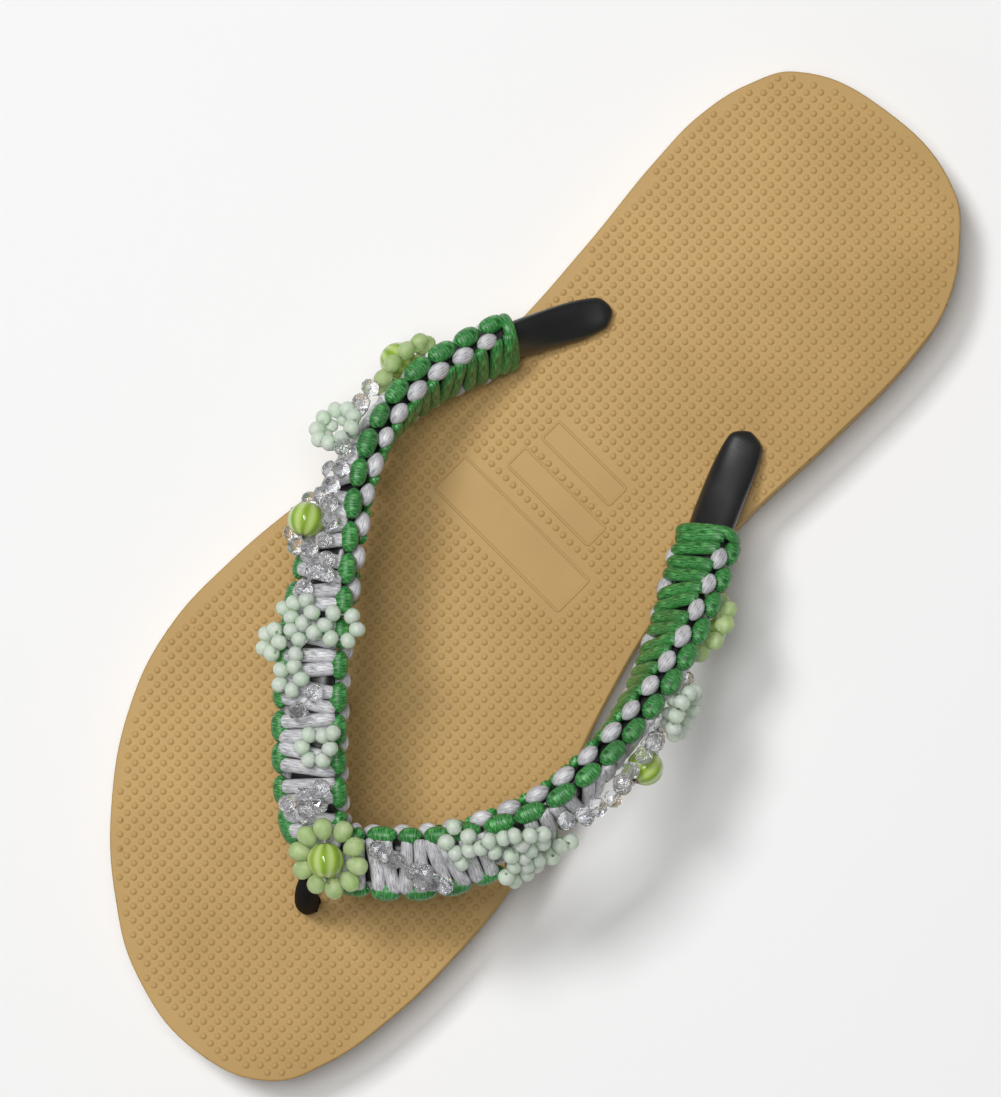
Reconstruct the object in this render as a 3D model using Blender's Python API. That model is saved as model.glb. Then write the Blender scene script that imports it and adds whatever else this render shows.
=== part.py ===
"""Beaded thong flip-flop for the right foot.

Metres. The toe points along +Y, the outer side of the foot is +X and +Z is up. The shoe stands on z = 0,
and the origin is under the middle of its box.
"""

import math
from collections import namedtuple

import bmesh
import bpy
from mathutils import Matrix, Vector

# Sole
SOLE_LENGTH = 0.250
SOLE_WIDTH = 0.093
HEEL_THICKNESS = 0.0156
BALL_THICKNESS = 0.0140
TOE_THICKNESS = 0.0127
WAIST_LIFT = 0.0010
TOE_SPRING = 0.0038
GROUND_EDGE_RADIUS = 0.0020
RIM_CHAMFER = 0.0005
TREAD_PITCH = 0.0050
TREAD_GROOVE_WIDTH = 0.0018
TREAD_GROOVE_DEPTH = 0.0009
SOLE_STATIONS = 25

# Thong
ARCH_HEIGHT = 0.0326
STRAP_WIDTH = 0.0090
STRAP_THICKNESS = 0.0040
POST_DIAMETER = 0.0052
STEM_DIAMETER = 0.0060
PLUG_DIAMETER = 0.0160
PLUG_THICKNESS = 0.0026
PLUG_RECESS = 0.0008
HOLE_INSET = 0.0035

# Knotted sleeve
SLEEVE_WIDTH = 0.0158
CORD_WALL = 0.0019
KNOT_PITCH = 0.0066
KNOT_RELIEF = 0.0009

# Beads
LARGE_BEAD_DIAMETER = 0.0073
PETAL_DIAMETER = 0.0042
MINT_DIAMETER = 0.0030
CRYSTAL_DIAMETER = 0.0041

# Clearance between neighbouring pieces
GAP = 0.0003

HALF_WIDTH = SOLE_WIDTH / 2

# Outline of the sole: along as a share of its length from the heel, the rest as shares of its half width
OutlineRow = namedtuple("OutlineRow", "along outer inner")
OUTLINE = (
    OutlineRow(0.020, 0.265, 0.654),
    OutlineRow(0.050, 0.394, 0.810),
    OutlineRow(0.100, 0.495, 0.944),
    OutlineRow(0.150, 0.527, 0.968),
    OutlineRow(0.250, 0.544, 0.908),
    OutlineRow(0.350, 0.585, 0.815),
    OutlineRow(0.450, 0.700, 0.760),
    OutlineRow(0.550, 0.840, 0.815),
    OutlineRow(0.650, 0.963, 0.927),
    OutlineRow(0.730, 1.000, 0.991),
    OutlineRow(0.800, 0.925, 0.980),
    OutlineRow(0.880, 0.703, 0.916),
    OutlineRow(0.940, 0.424, 0.813),
    OutlineRow(0.980, 0.129, 0.665),
)
HEEL_TIP_ACROSS = -0.172
TOE_TIP_ACROSS = -0.310

# Where the sole touches the ground, as shares of its length
HEEL_FLAT_END = 0.22
FOREFOOT_FLAT_START = 0.50
FOREFOOT_FLAT_END = 0.66
BALL_FROM = 0.62
BALL_TO = 0.70

# Route of the thong's two arms, from the outer plug over the crossing to the inner plug. Across is a share
# of the sole's half width, along of its length and height, above the footbed, of the arch. Roll turns the
# outer face from up, at 0 degrees, to the side. Wide and thick are shares of the strap's section.
RouteRow = namedtuple("RouteRow", "across along height roll wide thick sleeve")
ROUTE = (
    RouteRow(0.260, 0.280, 0.060, 180, 0.50, 0.45, 1.00),
    RouteRow(0.290, 0.287, 0.064, 178, 0.76, 0.60, 1.00),
    RouteRow(0.355, 0.305, 0.086, 164, 0.96, 0.85, 1.00),
    RouteRow(0.450, 0.331, 0.128, 144, 1.04, 1.10, 1.00),
    RouteRow(0.538, 0.357, 0.200, 124, 1.12, 1.25, 0.96),
    RouteRow(0.618, 0.388, 0.306, 114, 1.00, 1.00, 1.00),
    RouteRow(0.704, 0.430, 0.474, 103, 1.00, 1.00, 1.00),
    RouteRow(0.730, 0.480, 0.660, 85, 1.00, 1.00, 1.00),
    RouteRow(0.670, 0.534, 0.830, 62, 1.00, 1.00, 1.00),
    RouteRow(0.528, 0.592, 0.951, 38, 1.00, 1.00, 1.00),
    RouteRow(0.341, 0.656, 1.000, 20, 1.00, 1.00, 1.00),
    RouteRow(0.103, 0.722, 0.951, 10, 1.00, 1.00, 1.00),
    RouteRow(-0.056, 0.759, 0.866, 13, 1.00, 1.00, 0.98),
    RouteRow(-0.138, 0.775, 0.805, 18, 1.00, 1.00, 0.93),
    RouteRow(-0.249, 0.783, 0.775, 22, 1.00, 1.00, 0.90),
    RouteRow(-0.366, 0.780, 0.800, 20, 1.00, 1.00, 0.93),
    RouteRow(-0.467, 0.768, 0.846, 16, 1.00, 1.00, 0.98),
    RouteRow(-0.641, 0.742, 0.920, 21, 1.00, 1.00, 1.00),
    RouteRow(-0.805, 0.702, 0.985, 42, 1.00, 1.00, 1.00),
    RouteRow(-0.936, 0.646, 0.975, 66, 1.00, 1.00, 1.00),
    RouteRow(-0.977, 0.582, 0.850, 87, 1.00, 1.00, 1.00),
    RouteRow(-0.955, 0.521, 0.670, 105, 1.00, 1.00, 1.00),
    RouteRow(-0.890, 0.468, 0.505, 124, 1.00, 1.00, 1.00),
    RouteRow(-0.800, 0.420, 0.330, 140, 1.00, 1.00, 1.00),
    RouteRow(-0.728, 0.383, 0.212, 150, 1.16, 1.25, 0.96),
    RouteRow(-0.672, 0.350, 0.134, 159, 1.12, 1.10, 1.00),
    RouteRow(-0.628, 0.320, 0.086, 169, 1.04, 0.85, 1.00),
    RouteRow(-0.598, 0.299, 0.064, 178, 0.84, 0.60, 1.00),
    RouteRow(-0.590, 0.291, 0.060, 180, 0.50, 0.45, 1.00),
)
SLEEVE_FIRST_ROW = 4
SLEEVE_LAST_ROW = 24
CROSSING_ROW = 14

# Route of the toe post from inside the crossing down to its hole
PostRow = namedtuple("PostRow", "across along height")
POST = (
    PostRow(-0.254, 0.788, 0.745),
    PostRow(-0.262, 0.810, 0.650),
    PostRow(-0.276, 0.828, 0.460),
    PostRow(-0.290, 0.838, 0.225),
    PostRow(-0.295, 0.841, 0.060),
)

# Section of the strap, as shares of its half width and half thickness
STRAP_SECTION = (
    (1.00, 0.30), (0.72, 1.00), (-0.72, 1.00), (-1.00, 0.30),
    (-1.00, -0.30), (-0.72, -1.00), (0.72, -1.00), (1.00, -0.30),
)

# Section of the sleeve: the two bumps of each edge and the bars of each face
SLEEVE_SECTION = (
    (1.00, 0.34), (0.84, 0.88), (0.60, 1.00), (-0.60, 1.00), (-0.84, 0.88), (-1.00, 0.34),
    (-1.00, -0.34), (-0.84, -0.88), (-0.60, -1.00), (0.60, -1.00), (0.84, -0.88), (1.00, -0.34),
)
SLEEVE_EDGE_RADIUS = 0.0029
EDGE_DROP_LIMIT = 0.4

# One knot of the sleeve: how far along the knot, and whether it is a crest or a valley between crests
KNOT_STEPS = ((0.00, 0.0), (0.24, 1.0), (0.76, 1.0))

# Kinds of beads on a string. Neck is the string's width between two beads as a share of the bead's, and the
# bead is widest at its bellies, which are shares of its radius away from its middle.
Beading = namedtuple("Beading", "diameter material sides neck bellies")
BEADINGS = {
    "petals": Beading(PETAL_DIAMETER, "glass_frosted", 6, 0.60, (-0.45, 0.45)),
    "mint": Beading(MINT_DIAMETER, "glass_mint", 5, 0.60, (-0.40, 0.40)),
    "crystals": Beading(CRYSTAL_DIAMETER, "glass_clear", 6, 0.40, (0.0,)),
}

# Large beads: the arm, the share of its length from the crossing, the share of the sleeve's half width
LargeRow = namedtuple("LargeRow", "name arm share across")
LARGE_BEADS = (
    LargeRow("glass_bead_front", "inner", 0.020, -0.08),
    LargeRow("glass_bead_outer_side", "outer", 0.525, 0.08),
    LargeRow("glass_bead_outer_heel", "outer", 0.830, 0.00),
    LargeRow("glass_bead_inner_side", "inner", 0.572, 0.06),
    LargeRow("glass_bead_inner_heel", "inner", 0.845, 0.00),
)

# Rings of beads: lean is the angle in degrees between the ring and the sleeve's face
RingRow = namedtuple("RingRow", "name kind arm share across count lean")
RINGS = (
    RingRow("petals_front", "petals", "inner", 0.020, -0.08, 10, 0),
    RingRow("petals_outer_heel", "petals", "outer", 0.830, 0.00, 10, 0),
    RingRow("petals_inner_heel", "petals", "inner", 0.845, 0.00, 10, 0),
    RingRow("crystals_outer_side", "crystals", "outer", 0.525, 0.08, 9, 0),
    RingRow("crystals_inner_side", "crystals", "inner", 0.572, 0.06, 9, 0),
    RingRow("mint_outer_loop", "mint", "outer", 0.672, -0.40, 9, 38),
    RingRow("mint_outer_flower_1", "mint", "outer", 0.385, 0.15, 5, 0),
    RingRow("mint_outer_flower_2", "mint", "outer", 0.368, -0.97, 6, 0),
    RingRow("mint_outer_flower_3", "mint", "outer", 0.335, 1.05, 5, 0),
    RingRow("mint_outer_flower_4", "mint", "outer", 0.283, 0.38, 5, 0),
    RingRow("mint_outer_flower_5", "mint", "outer", 0.178, -0.35, 6, 0),
    RingRow("mint_inner_loop", "mint", "inner", 0.685, -0.20, 10, 32),
    RingRow("mint_inner_flower_1", "mint", "inner", 0.256, -0.85, 5, 0),
    RingRow("mint_inner_flower_2", "mint", "inner", 0.360, -0.30, 5, 0),
    RingRow("mint_inner_flower_3", "mint", "inner", 0.315, 0.68, 5, 0),
    RingRow("mint_inner_flower_4", "mint", "inner", 0.390, 0.88, 5, 0),
)

# Straight strings of beads: heading turns from along the arm, away from the crossing, to its outer edge
StringRow = namedtuple("StringRow", "name kind arm share across heading count")
STRINGS = (
    StringRow("crystals_outer_heel", "crystals", "outer", 0.735, -0.10, 90, 2),
    StringRow("crystals_outer_loop", "crystals", "outer", 0.606, -0.90, 90, 2),
    StringRow("crystals_outer_front", "crystals", "outer", 0.118, -0.50, 115, 3),
    StringRow("crystals_inner_front", "crystals", "inner", 0.110, -0.60, 30, 4),
    StringRow("crystals_inner_ball", "crystals", "inner", 0.415, -0.65, 37, 3),
    StringRow("crystals_inner_heel", "crystals", "inner", 0.745, 0.10, 90, 2),
)

COLORS = {
    "rubber_tan": ((0.52, 0.35, 0.13), 0.62),
    "rubber_black": ((0.012, 0.012, 0.013), 0.35),
    "satin_cord": ((0.03, 0.24, 0.05), 0.42),
    "glass_green": ((0.30, 0.55, 0.03), 0.12),
    "glass_frosted": ((0.38, 0.60, 0.20), 0.45),
    "glass_mint": ((0.52, 0.74, 0.52), 0.38),
    "glass_clear": ((0.85, 0.88, 0.90), 0.05),
}


def clear_scene():
    for old in list(bpy.data.objects):
        bpy.data.objects.remove(old)


def make_collection(name):
    group = bpy.data.collections.new(name)
    bpy.context.scene.collection.children.link(group)
    return group


def make_material(name):
    color, roughness = COLORS[name]
    material = bpy.data.materials.new(name)
    material.use_nodes = True
    shader = material.node_tree.nodes["Principled BSDF"]
    shader.inputs["Base Color"].default_value = (*color, 1.0)
    shader.inputs["Roughness"].default_value = roughness
    shader.inputs["Metallic"].default_value = 0.0
    return material


def new_object(name, mesh, group, material=None):
    made = bpy.data.objects.new(name, mesh)
    group.objects.link(made)
    if material:
        mesh.materials.clear()
        mesh.materials.append(material)
    return made


def mesh_from(bm, name):
    """Turns a bmesh into mesh data with its faces pointing out."""
    bmesh.ops.recalc_face_normals(bm, faces=bm.faces)
    mesh = bpy.data.meshes.new(name)
    bm.to_mesh(mesh)
    bm.free()
    return mesh


def evaluated_mesh(made, name):
    """Applies an object's curve or modifiers, and removes the object."""
    graph = bpy.context.evaluated_depsgraph_get()
    mesh = bpy.data.meshes.new_from_object(made.evaluated_get(graph))
    mesh.transform(made.matrix_world)
    mesh.name = name
    bpy.data.objects.remove(made)
    return mesh


def as_cutter(made):
    made.hide_render = True
    made.display_type = "WIRE"
    return made


def combine(name, base, tools, operation, tool_group, group, material):
    """Joins the tools to the base mesh, or cuts them out of it, one after another."""
    work = new_object(name, base, tool_group)
    for number, tool in enumerate(tools):
        cutter = as_cutter(new_object(f"{name}_tool_{number}", tool, tool_group))
        boolean = work.modifiers.new(f"tool_{number}", "BOOLEAN")
        boolean.operation = operation
        boolean.solver = "EXACT"
        boolean.object = cutter
    bpy.context.view_layer.update()
    mesh = evaluated_mesh(work, name)
    bm = bmesh.new()
    bm.from_mesh(mesh)
    bmesh.ops.remove_doubles(bm, verts=bm.verts, dist=1e-6)
    bmesh.ops.dissolve_degenerate(bm, edges=bm.edges, dist=1e-6)
    return new_object(name, mesh_from(bm, name), group, material)


def blend(low, high, share):
    return low + (high - low) * share


def smooth_rows(rows, steps):
    """Catmull-Rom curve through rows of numbers, with a number of steps to each row."""
    ends = [rows[0]] + list(rows) + [rows[-1]]
    curve = []
    for one, two, three, four in zip(ends, ends[1:], ends[2:], ends[3:]):
        for step in range(steps):
            t = step / steps
            point = []
            for a, b, c, d in zip(one, two, three, four):
                cubic = 2 * b + (c - a) * t + (2 * a - 5 * b + 4 * c - d) * t * t
                point.append(0.5 * (cubic + (3 * b - 3 * c + d - a) * t ** 3))
            curve.append(point)
    curve.append(list(rows[-1]))
    return curve


def ground_height(along):
    """Height of the sole's underside over the floor, at a share of its length."""
    if HEEL_FLAT_END < along < FOREFOOT_FLAT_START:
        waist = (along - HEEL_FLAT_END) / (FOREFOOT_FLAT_START - HEEL_FLAT_END)
        return WAIST_LIFT * math.sin(math.pi * waist) ** 2
    if along > FOREFOOT_FLAT_END:
        return TOE_SPRING * ((along - FOREFOOT_FLAT_END) / (1 - FOREFOOT_FLAT_END)) ** 1.6
    return 0.0


def thickness(along):
    if along < BALL_FROM:
        share = max(0.0, (along - HEEL_FLAT_END) / (BALL_FROM - HEEL_FLAT_END))
        return blend(HEEL_THICKNESS, BALL_THICKNESS, share)
    share = max(0.0, (along - BALL_TO) / (1 - BALL_TO))
    return blend(BALL_THICKNESS, TOE_THICKNESS, min(1.0, share))


def sole_levels(y):
    """Underside and thickness at y, straight between the sole's stations, so that its strips are flat."""
    share = min(max(y / SOLE_LENGTH, 0.0), 1.0) * SOLE_STATIONS
    first = min(int(share), SOLE_STATIONS - 1)
    low, high = first / SOLE_STATIONS, (first + 1) / SOLE_STATIONS
    between = share - first
    under = blend(ground_height(low), ground_height(high), between)
    return under, blend(thickness(low), thickness(high), between)


def footbed_height(y):
    under, depth = sole_levels(y)
    return under + depth


def outline_points():
    """Corners of the sole's outline, heel tip first, then up the outer side and back down the inner side."""
    heel = (HEEL_TIP_ACROSS * HALF_WIDTH, 0.0)
    toe = (TOE_TIP_ACROSS * HALF_WIDTH, SOLE_LENGTH)
    outer = [(row.outer * HALF_WIDTH, row.along * SOLE_LENGTH) for row in OUTLINE]
    inner = [(-row.inner * HALF_WIDTH, row.along * SOLE_LENGTH) for row in reversed(OUTLINE)]
    return [heel] + outer + [toe] + inner


def sole_slab():
    """Flat slab of the outline, its edges dressed, then bent to the profile."""
    curve = bpy.data.curves.new("outline", "CURVE")
    curve.dimensions = "2D"
    curve.fill_mode = "BOTH"
    curve.extrude = BALL_THICKNESS / 2
    curve.resolution_u = 3
    spline = curve.splines.new("BEZIER")
    points = outline_points()
    spline.bezier_points.add(len(points) - 1)
    for corner, (x, y) in zip(spline.bezier_points, points):
        corner.co = (x, y, 0)
        corner.handle_left_type = "AUTO"
        corner.handle_right_type = "AUTO"
    spline.use_cyclic_u = True
    made = new_object("outline", curve, bpy.context.scene.collection)
    bpy.context.view_layer.update()
    bm = bmesh.new()
    bm.from_mesh(evaluated_mesh(made, "slab"))
    bmesh.ops.remove_doubles(bm, verts=bm.verts, dist=1e-6)
    bmesh.ops.dissolve_limit(bm, angle_limit=math.radians(0.5), verts=bm.verts, edges=bm.edges)
    half = BALL_THICKNESS / 2
    for side, width, segments in ((-1, GROUND_EDGE_RADIUS, 3), (1, RIM_CHAMFER, 1)):
        rim = [e for e in bm.edges if all(v.co.z * side > half - 1e-6 for v in e.verts)]
        bmesh.ops.bevel(bm, geom=rim, offset=width, segments=segments, profile=0.5, affect="EDGES")
    for station in range(1, SOLE_STATIONS):
        place = (0, SOLE_LENGTH * station / SOLE_STATIONS, 0)
        everything = bm.verts[:] + bm.edges[:] + bm.faces[:]
        bmesh.ops.bisect_plane(bm, geom=everything, dist=1e-7, plane_co=place, plane_no=(0, 1, 0))
    for vert in bm.verts:
        under, depth = sole_levels(vert.co.y)
        vert.co.z = under + depth * (vert.co.z + half) / BALL_THICKNESS
    return mesh_from(bm, "slab")


def box_mesh(name, low, high):
    bm = bmesh.new()
    bmesh.ops.create_cube(bm, size=1.0)
    for vert in bm.verts:
        vert.co = [blend(a, b, c + 0.5) for a, b, c in zip(low, high, vert.co)]
    return mesh_from(bm, name)


def cylinder_mesh(name, x, y, bottom, top, radius, sides):
    bm = bmesh.new()
    bmesh.ops.create_cone(bm, cap_ends=True, segments=sides, radius1=radius, radius2=radius, depth=1.0)
    for vert in bm.verts:
        vert.co = (vert.co.x + x, vert.co.y + y, blend(bottom, top, vert.co.z + 0.5))
    return mesh_from(bm, name)


def tread_cutter():
    """Straight grooves across the underside, in one mesh."""
    bm = bmesh.new()
    count = int(SOLE_LENGTH / TREAD_PITCH)
    for number in range(count):
        y = (number + 0.5) * TREAD_PITCH
        top = sole_levels(y)[0] + TREAD_GROOVE_DEPTH
        half = TREAD_GROOVE_WIDTH / 2
        low = (-SOLE_WIDTH, y - half, top - 3 * GROUND_EDGE_RADIUS)
        bm.from_mesh(box_mesh("groove", low, (SOLE_WIDTH, y + half, top)))
    return mesh_from(bm, "tread")


def route_point(row):
    y = row.along * SOLE_LENGTH
    return Vector((row.across * HALF_WIDTH, y, footbed_height(y) + row.height * ARCH_HEIGHT))


class Route:
    """The centre line of both arms, with its section's size and roll, by distance from the outer plug."""

    STEPS = 8
    REACH = 0.0015
    TRIES = 12

    def __init__(self):
        rows = [(*route_point(row), row.roll, row.wide, row.thick, row.sleeve) for row in ROUTE]
        self.samples = smooth_rows(rows, self.STEPS)
        self.distances = [0.0]
        for one, two in zip(self.samples, self.samples[1:]):
            step = (Vector(two[:3]) - Vector(one[:3])).length
            self.distances.append(self.distances[-1] + step)
        self.length = self.distances[-1]

    def row_distance(self, number):
        return self.distances[number * self.STEPS]

    def at(self, distance):
        distance = min(max(distance, 0.0), self.length)
        last = len(self.distances) - 2
        index = next((i for i in range(last) if self.distances[i + 1] >= distance), last)
        share = (distance - self.distances[index]) / (self.distances[index + 1] - self.distances[index])
        return [blend(a, b, share) for a, b in zip(self.samples[index], self.samples[index + 1])]

    def frame(self, distance):
        """Centre, direction across the band towards its outer edge, and direction out of its outer face."""
        centre = Vector(self.at(distance)[:3])
        ahead = Vector(self.at(distance + self.REACH)[:3]) - Vector(self.at(distance - self.REACH)[:3])
        outward = ahead.cross(Vector((0, 0, 1))).normalized()
        upward = outward.cross(ahead).normalized()
        roll = math.radians(self.at(distance)[3])
        across = outward * math.cos(roll) - upward * math.sin(roll)
        out = upward * math.cos(roll) + outward * math.sin(roll)
        return centre, across, out

    def on_arm(self, arm, share):
        """Distance along the route of a share of an arm, from the crossing to the sleeve's end."""
        end = SLEEVE_FIRST_ROW if arm == "outer" else SLEEVE_LAST_ROW
        return blend(self.row_distance(CROSSING_ROW), self.row_distance(end), share)

    def level_with(self, distance, point):
        """Distance along the route at which it is level with a point, found from a distance close to it."""
        for _ in range(self.TRIES):
            centre, across, out = self.frame(distance)
            distance += (point - centre).dot(out.cross(across))
        return distance


def loft(name, rings, closed=False):
    """Solid through rings with the same number of points, every side split along the same diagonal."""
    bm = bmesh.new()
    loops = [[bm.verts.new(point) for point in ring] for ring in rings]
    for one, two in zip(loops, loops[1:] + loops[:1] if closed else loops[1:]):
        for corner in range(len(one)):
            following = (corner + 1) % len(one)
            bm.faces.new((one[corner], one[following], two[following]))
            bm.faces.new((one[corner], two[following], two[corner]))
    if not closed:
        bm.faces.new(loops[0])
        bm.faces.new(list(reversed(loops[-1])))
    return mesh_from(bm, name)


def arms_mesh(route, clearance):
    """Both arms of the thong as one band, grown all round by a clearance."""
    rings = []
    for row in range((len(ROUTE) - 1) * 2 + 1):
        distance = route.distances[row * route.STEPS // 2]
        centre, across, out = route.frame(distance)
        wide, thick = route.at(distance)[4:6]
        half_width = STRAP_WIDTH * wide / 2 + clearance
        half_thickness = STRAP_THICKNESS * thick / 2 + clearance
        rings.append([centre + across * half_width * a + out * half_thickness * b for a, b in STRAP_SECTION])
    return loft("arms", rings)


def tube_mesh(name, points, radius):
    """Round tube along points, with its caps closed."""
    curve = bpy.data.curves.new(name, "CURVE")
    curve.dimensions = "3D"
    curve.bevel_depth = radius
    curve.bevel_resolution = 3
    curve.use_fill_caps = True
    spline = curve.splines.new("POLY")
    spline.points.add(len(points) - 1)
    for target, point in zip(spline.points, points):
        target.co = (*point, 1)
    made = new_object(name, curve, bpy.context.scene.collection)
    bpy.context.view_layer.update()
    bm = bmesh.new()
    bm.from_mesh(evaluated_mesh(made, name))
    bmesh.ops.remove_doubles(bm, verts=bm.verts, dist=1e-6)
    return mesh_from(bm, name)


def post_mesh(clearance):
    points = [Vector(point) for point in smooth_rows([tuple(route_point(row)) for row in POST], 3)]
    points[0] -= (points[1] - points[0]).normalized() * clearance
    return tube_mesh("post", points, POST_DIAMETER / 2 + clearance)


def hole_places():
    """Centre and stem radius of the three holes: outer arm, inner arm, toe post."""
    outer, inner, post = ROUTE[0], ROUTE[-1], POST[-1]
    places = []
    for end, neighbour in ((outer, ROUTE[2]), (inner, ROUTE[-3])):
        tip = route_point(end)
        inward = (route_point(neighbour) - tip).normalized()
        centre = tip + inward * HOLE_INSET
        places.append((centre.x, centre.y, STEM_DIAMETER / 2))
    bottom = route_point(post)
    places.append((bottom.x, bottom.y, POST_DIAMETER / 2))
    return places


def stem_meshes(clearance, reach):
    """Stem and round plug for each hole. Reach is how far the stem stands over the footbed."""
    solids = []
    for x, y, radius in hole_places():
        under = max(sole_levels(y - PLUG_DIAMETER / 2)[0], sole_levels(y + PLUG_DIAMETER / 2)[0])
        bottom = under + PLUG_RECESS
        top = bottom + PLUG_THICKNESS
        stem_top = footbed_height(y) + reach
        solids.append(cylinder_mesh("stem", x, y, top - PLUG_THICKNESS / 2, stem_top, radius + clearance, 16))
        low = bottom if clearance == 0 else under - GROUND_EDGE_RADIUS
        plug_radius = PLUG_DIAMETER / 2 + clearance
        solids.append(cylinder_mesh("plug", x, y, low, top + clearance, plug_radius, 24))
    return solids


def sleeve_half_thickness():
    return STRAP_THICKNESS / 2 + GAP + CORD_WALL


def sleeve_mesh(route):
    """Outside of the knotted sleeve, a crest for each knot and a valley between two."""
    start = route.row_distance(SLEEVE_FIRST_ROW)
    end = route.row_distance(SLEEVE_LAST_ROW)
    knots = max(1, round((end - start) / KNOT_PITCH))
    pitch = (end - start) / knots
    stations = [(start, 0.0)]
    for knot in range(knots):
        for along, crest in KNOT_STEPS[1:] + ((1.0, 0.0),):
            stations.append((start + (knot + along) * pitch, crest))
    rings = []
    for distance, crest in stations:
        centre, across, out = route.frame(distance)
        relief = KNOT_RELIEF * (1 - crest)
        half_width = SLEEVE_WIDTH / 2 * route.at(distance)[6] - relief
        half_thickness = sleeve_half_thickness() - relief / 2
        rings.append([centre + across * half_width * a + out * half_thickness * b for a, b in SLEEVE_SECTION])
    return loft("sleeve", rings)


def settle(route, distance, point, lift):
    """Moves a point along the normal of the sleeve's outer face until it is a lift away from the sleeve."""
    distance = route.level_with(distance, point)
    centre, across, out = route.frame(distance)
    offset = point - centre
    flat = SLEEVE_WIDTH / 2 * route.at(distance)[6] - SLEEVE_EDGE_RADIUS
    beyond = max(abs(offset.dot(across)) - flat, 0.0)
    reach = SLEEVE_EDGE_RADIUS + lift
    drop = math.sqrt(max(reach ** 2 - beyond ** 2, 0.0))
    height = sleeve_half_thickness() - SLEEVE_EDGE_RADIUS + max(drop, reach * EDGE_DROP_LIMIT)
    return point + out * (height - offset.dot(out))


def face_place(route, row):
    """Distance along the route, point in the sleeve's mid plane and the frame there, for a row of beads."""
    distance = route.on_arm(row.arm, row.share)
    centre, across, out = route.frame(distance)
    point = centre + across * row.across * SLEEVE_WIDTH / 2 * route.at(distance)[6]
    return distance, point, across, out


def bead_circle(centre, ahead, up, radius, sides):
    """Points of a circle round a string, the first one away from up."""
    side = ahead.cross(up).normalized()
    over = side.cross(ahead)
    angles = [2 * math.pi * number / sides for number in range(sides)]
    return [centre + (side * math.sin(angle) - over * math.cos(angle)) * radius for angle in angles]


def bead_string(name, centres, up, beading, closed):
    """One body of beads on a string through their centres, narrow where two beads meet."""
    radius = beading.diameter / 2
    last = len(centres) - 1
    circles = []
    for number, centre in enumerate(centres):
        if closed:
            before, after = centres[number - 1], centres[(number + 1) % len(centres)]
        else:
            before = centres[number - 1] if number else 2 * centre - centres[1]
            after = centres[number + 1] if number < last else 2 * centre - before
        ahead = (after - before).normalized()
        circles.append(bead_circle((before + centre) / 2, ahead, up, radius * beading.neck, beading.sides))
        for belly in beading.bellies:
            middle = centre + ahead * radius * belly
            circles.append(bead_circle(middle, ahead, up, radius, beading.sides))
    if not closed:
        circles.append(bead_circle((centre + after) / 2, ahead, up, radius * beading.neck, beading.sides))
    return loft(name, circles, closed)


def ring_mesh(route, row):
    beading = BEADINGS[row.kind]
    radius = beading.diameter / 2 / math.sin(math.pi / row.count)
    lift = beading.diameter / 2 + GAP
    distance, point, across, out = face_place(route, row)
    ahead = out.cross(across)
    lean = math.radians(row.lean)
    rise = across * math.cos(lean) + out * math.sin(lean)
    middle = settle(route, distance, point, lift) + out * radius * math.sin(lean)
    centres = []
    for number in range(row.count):
        angle = 2 * math.pi * number / row.count
        centre = middle + ahead * radius * math.sin(angle) - rise * radius * math.cos(angle)
        centres.append(centre if row.lean else settle(route, distance, centre, lift))
    return bead_string(row.name, centres, rise.cross(ahead), beading, True)


def string_mesh(route, row):
    beading = BEADINGS[row.kind]
    distance, point, across, out = face_place(route, row)
    outward_along = out.cross(across) * (-1 if row.arm == "outer" else 1)
    heading = math.radians(row.heading)
    step = (outward_along * math.cos(heading) + across * math.sin(heading)) * beading.diameter
    lift = beading.diameter / 2 + GAP
    centres = [settle(route, distance, point + step * number, lift) for number in range(row.count)]
    return bead_string(row.name, centres, out, beading, False)


def large_bead_mesh(route, row):
    distance, point, _, _ = face_place(route, row)
    centre = settle(route, distance, point, LARGE_BEAD_DIAMETER / 2 + GAP)
    bm = bmesh.new()
    bmesh.ops.create_icosphere(bm, subdivisions=2, radius=LARGE_BEAD_DIAMETER / 2)
    bmesh.ops.translate(bm, vec=centre, verts=bm.verts)
    return mesh_from(bm, row.name)


def centre_on_origin(nodes):
    """Moves the shoe until the origin is under the middle of its box."""
    corners = [vert.co for node in nodes for vert in node.data.vertices]
    low, high = ([pick(corner[axis] for corner in corners) for axis in range(3)] for pick in (min, max))
    shift = Vector((-(low[0] + high[0]) / 2, -(low[1] + high[1]) / 2, -low[2]))
    for node in nodes:
        node.data.transform(Matrix.Translation(shift))


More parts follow.
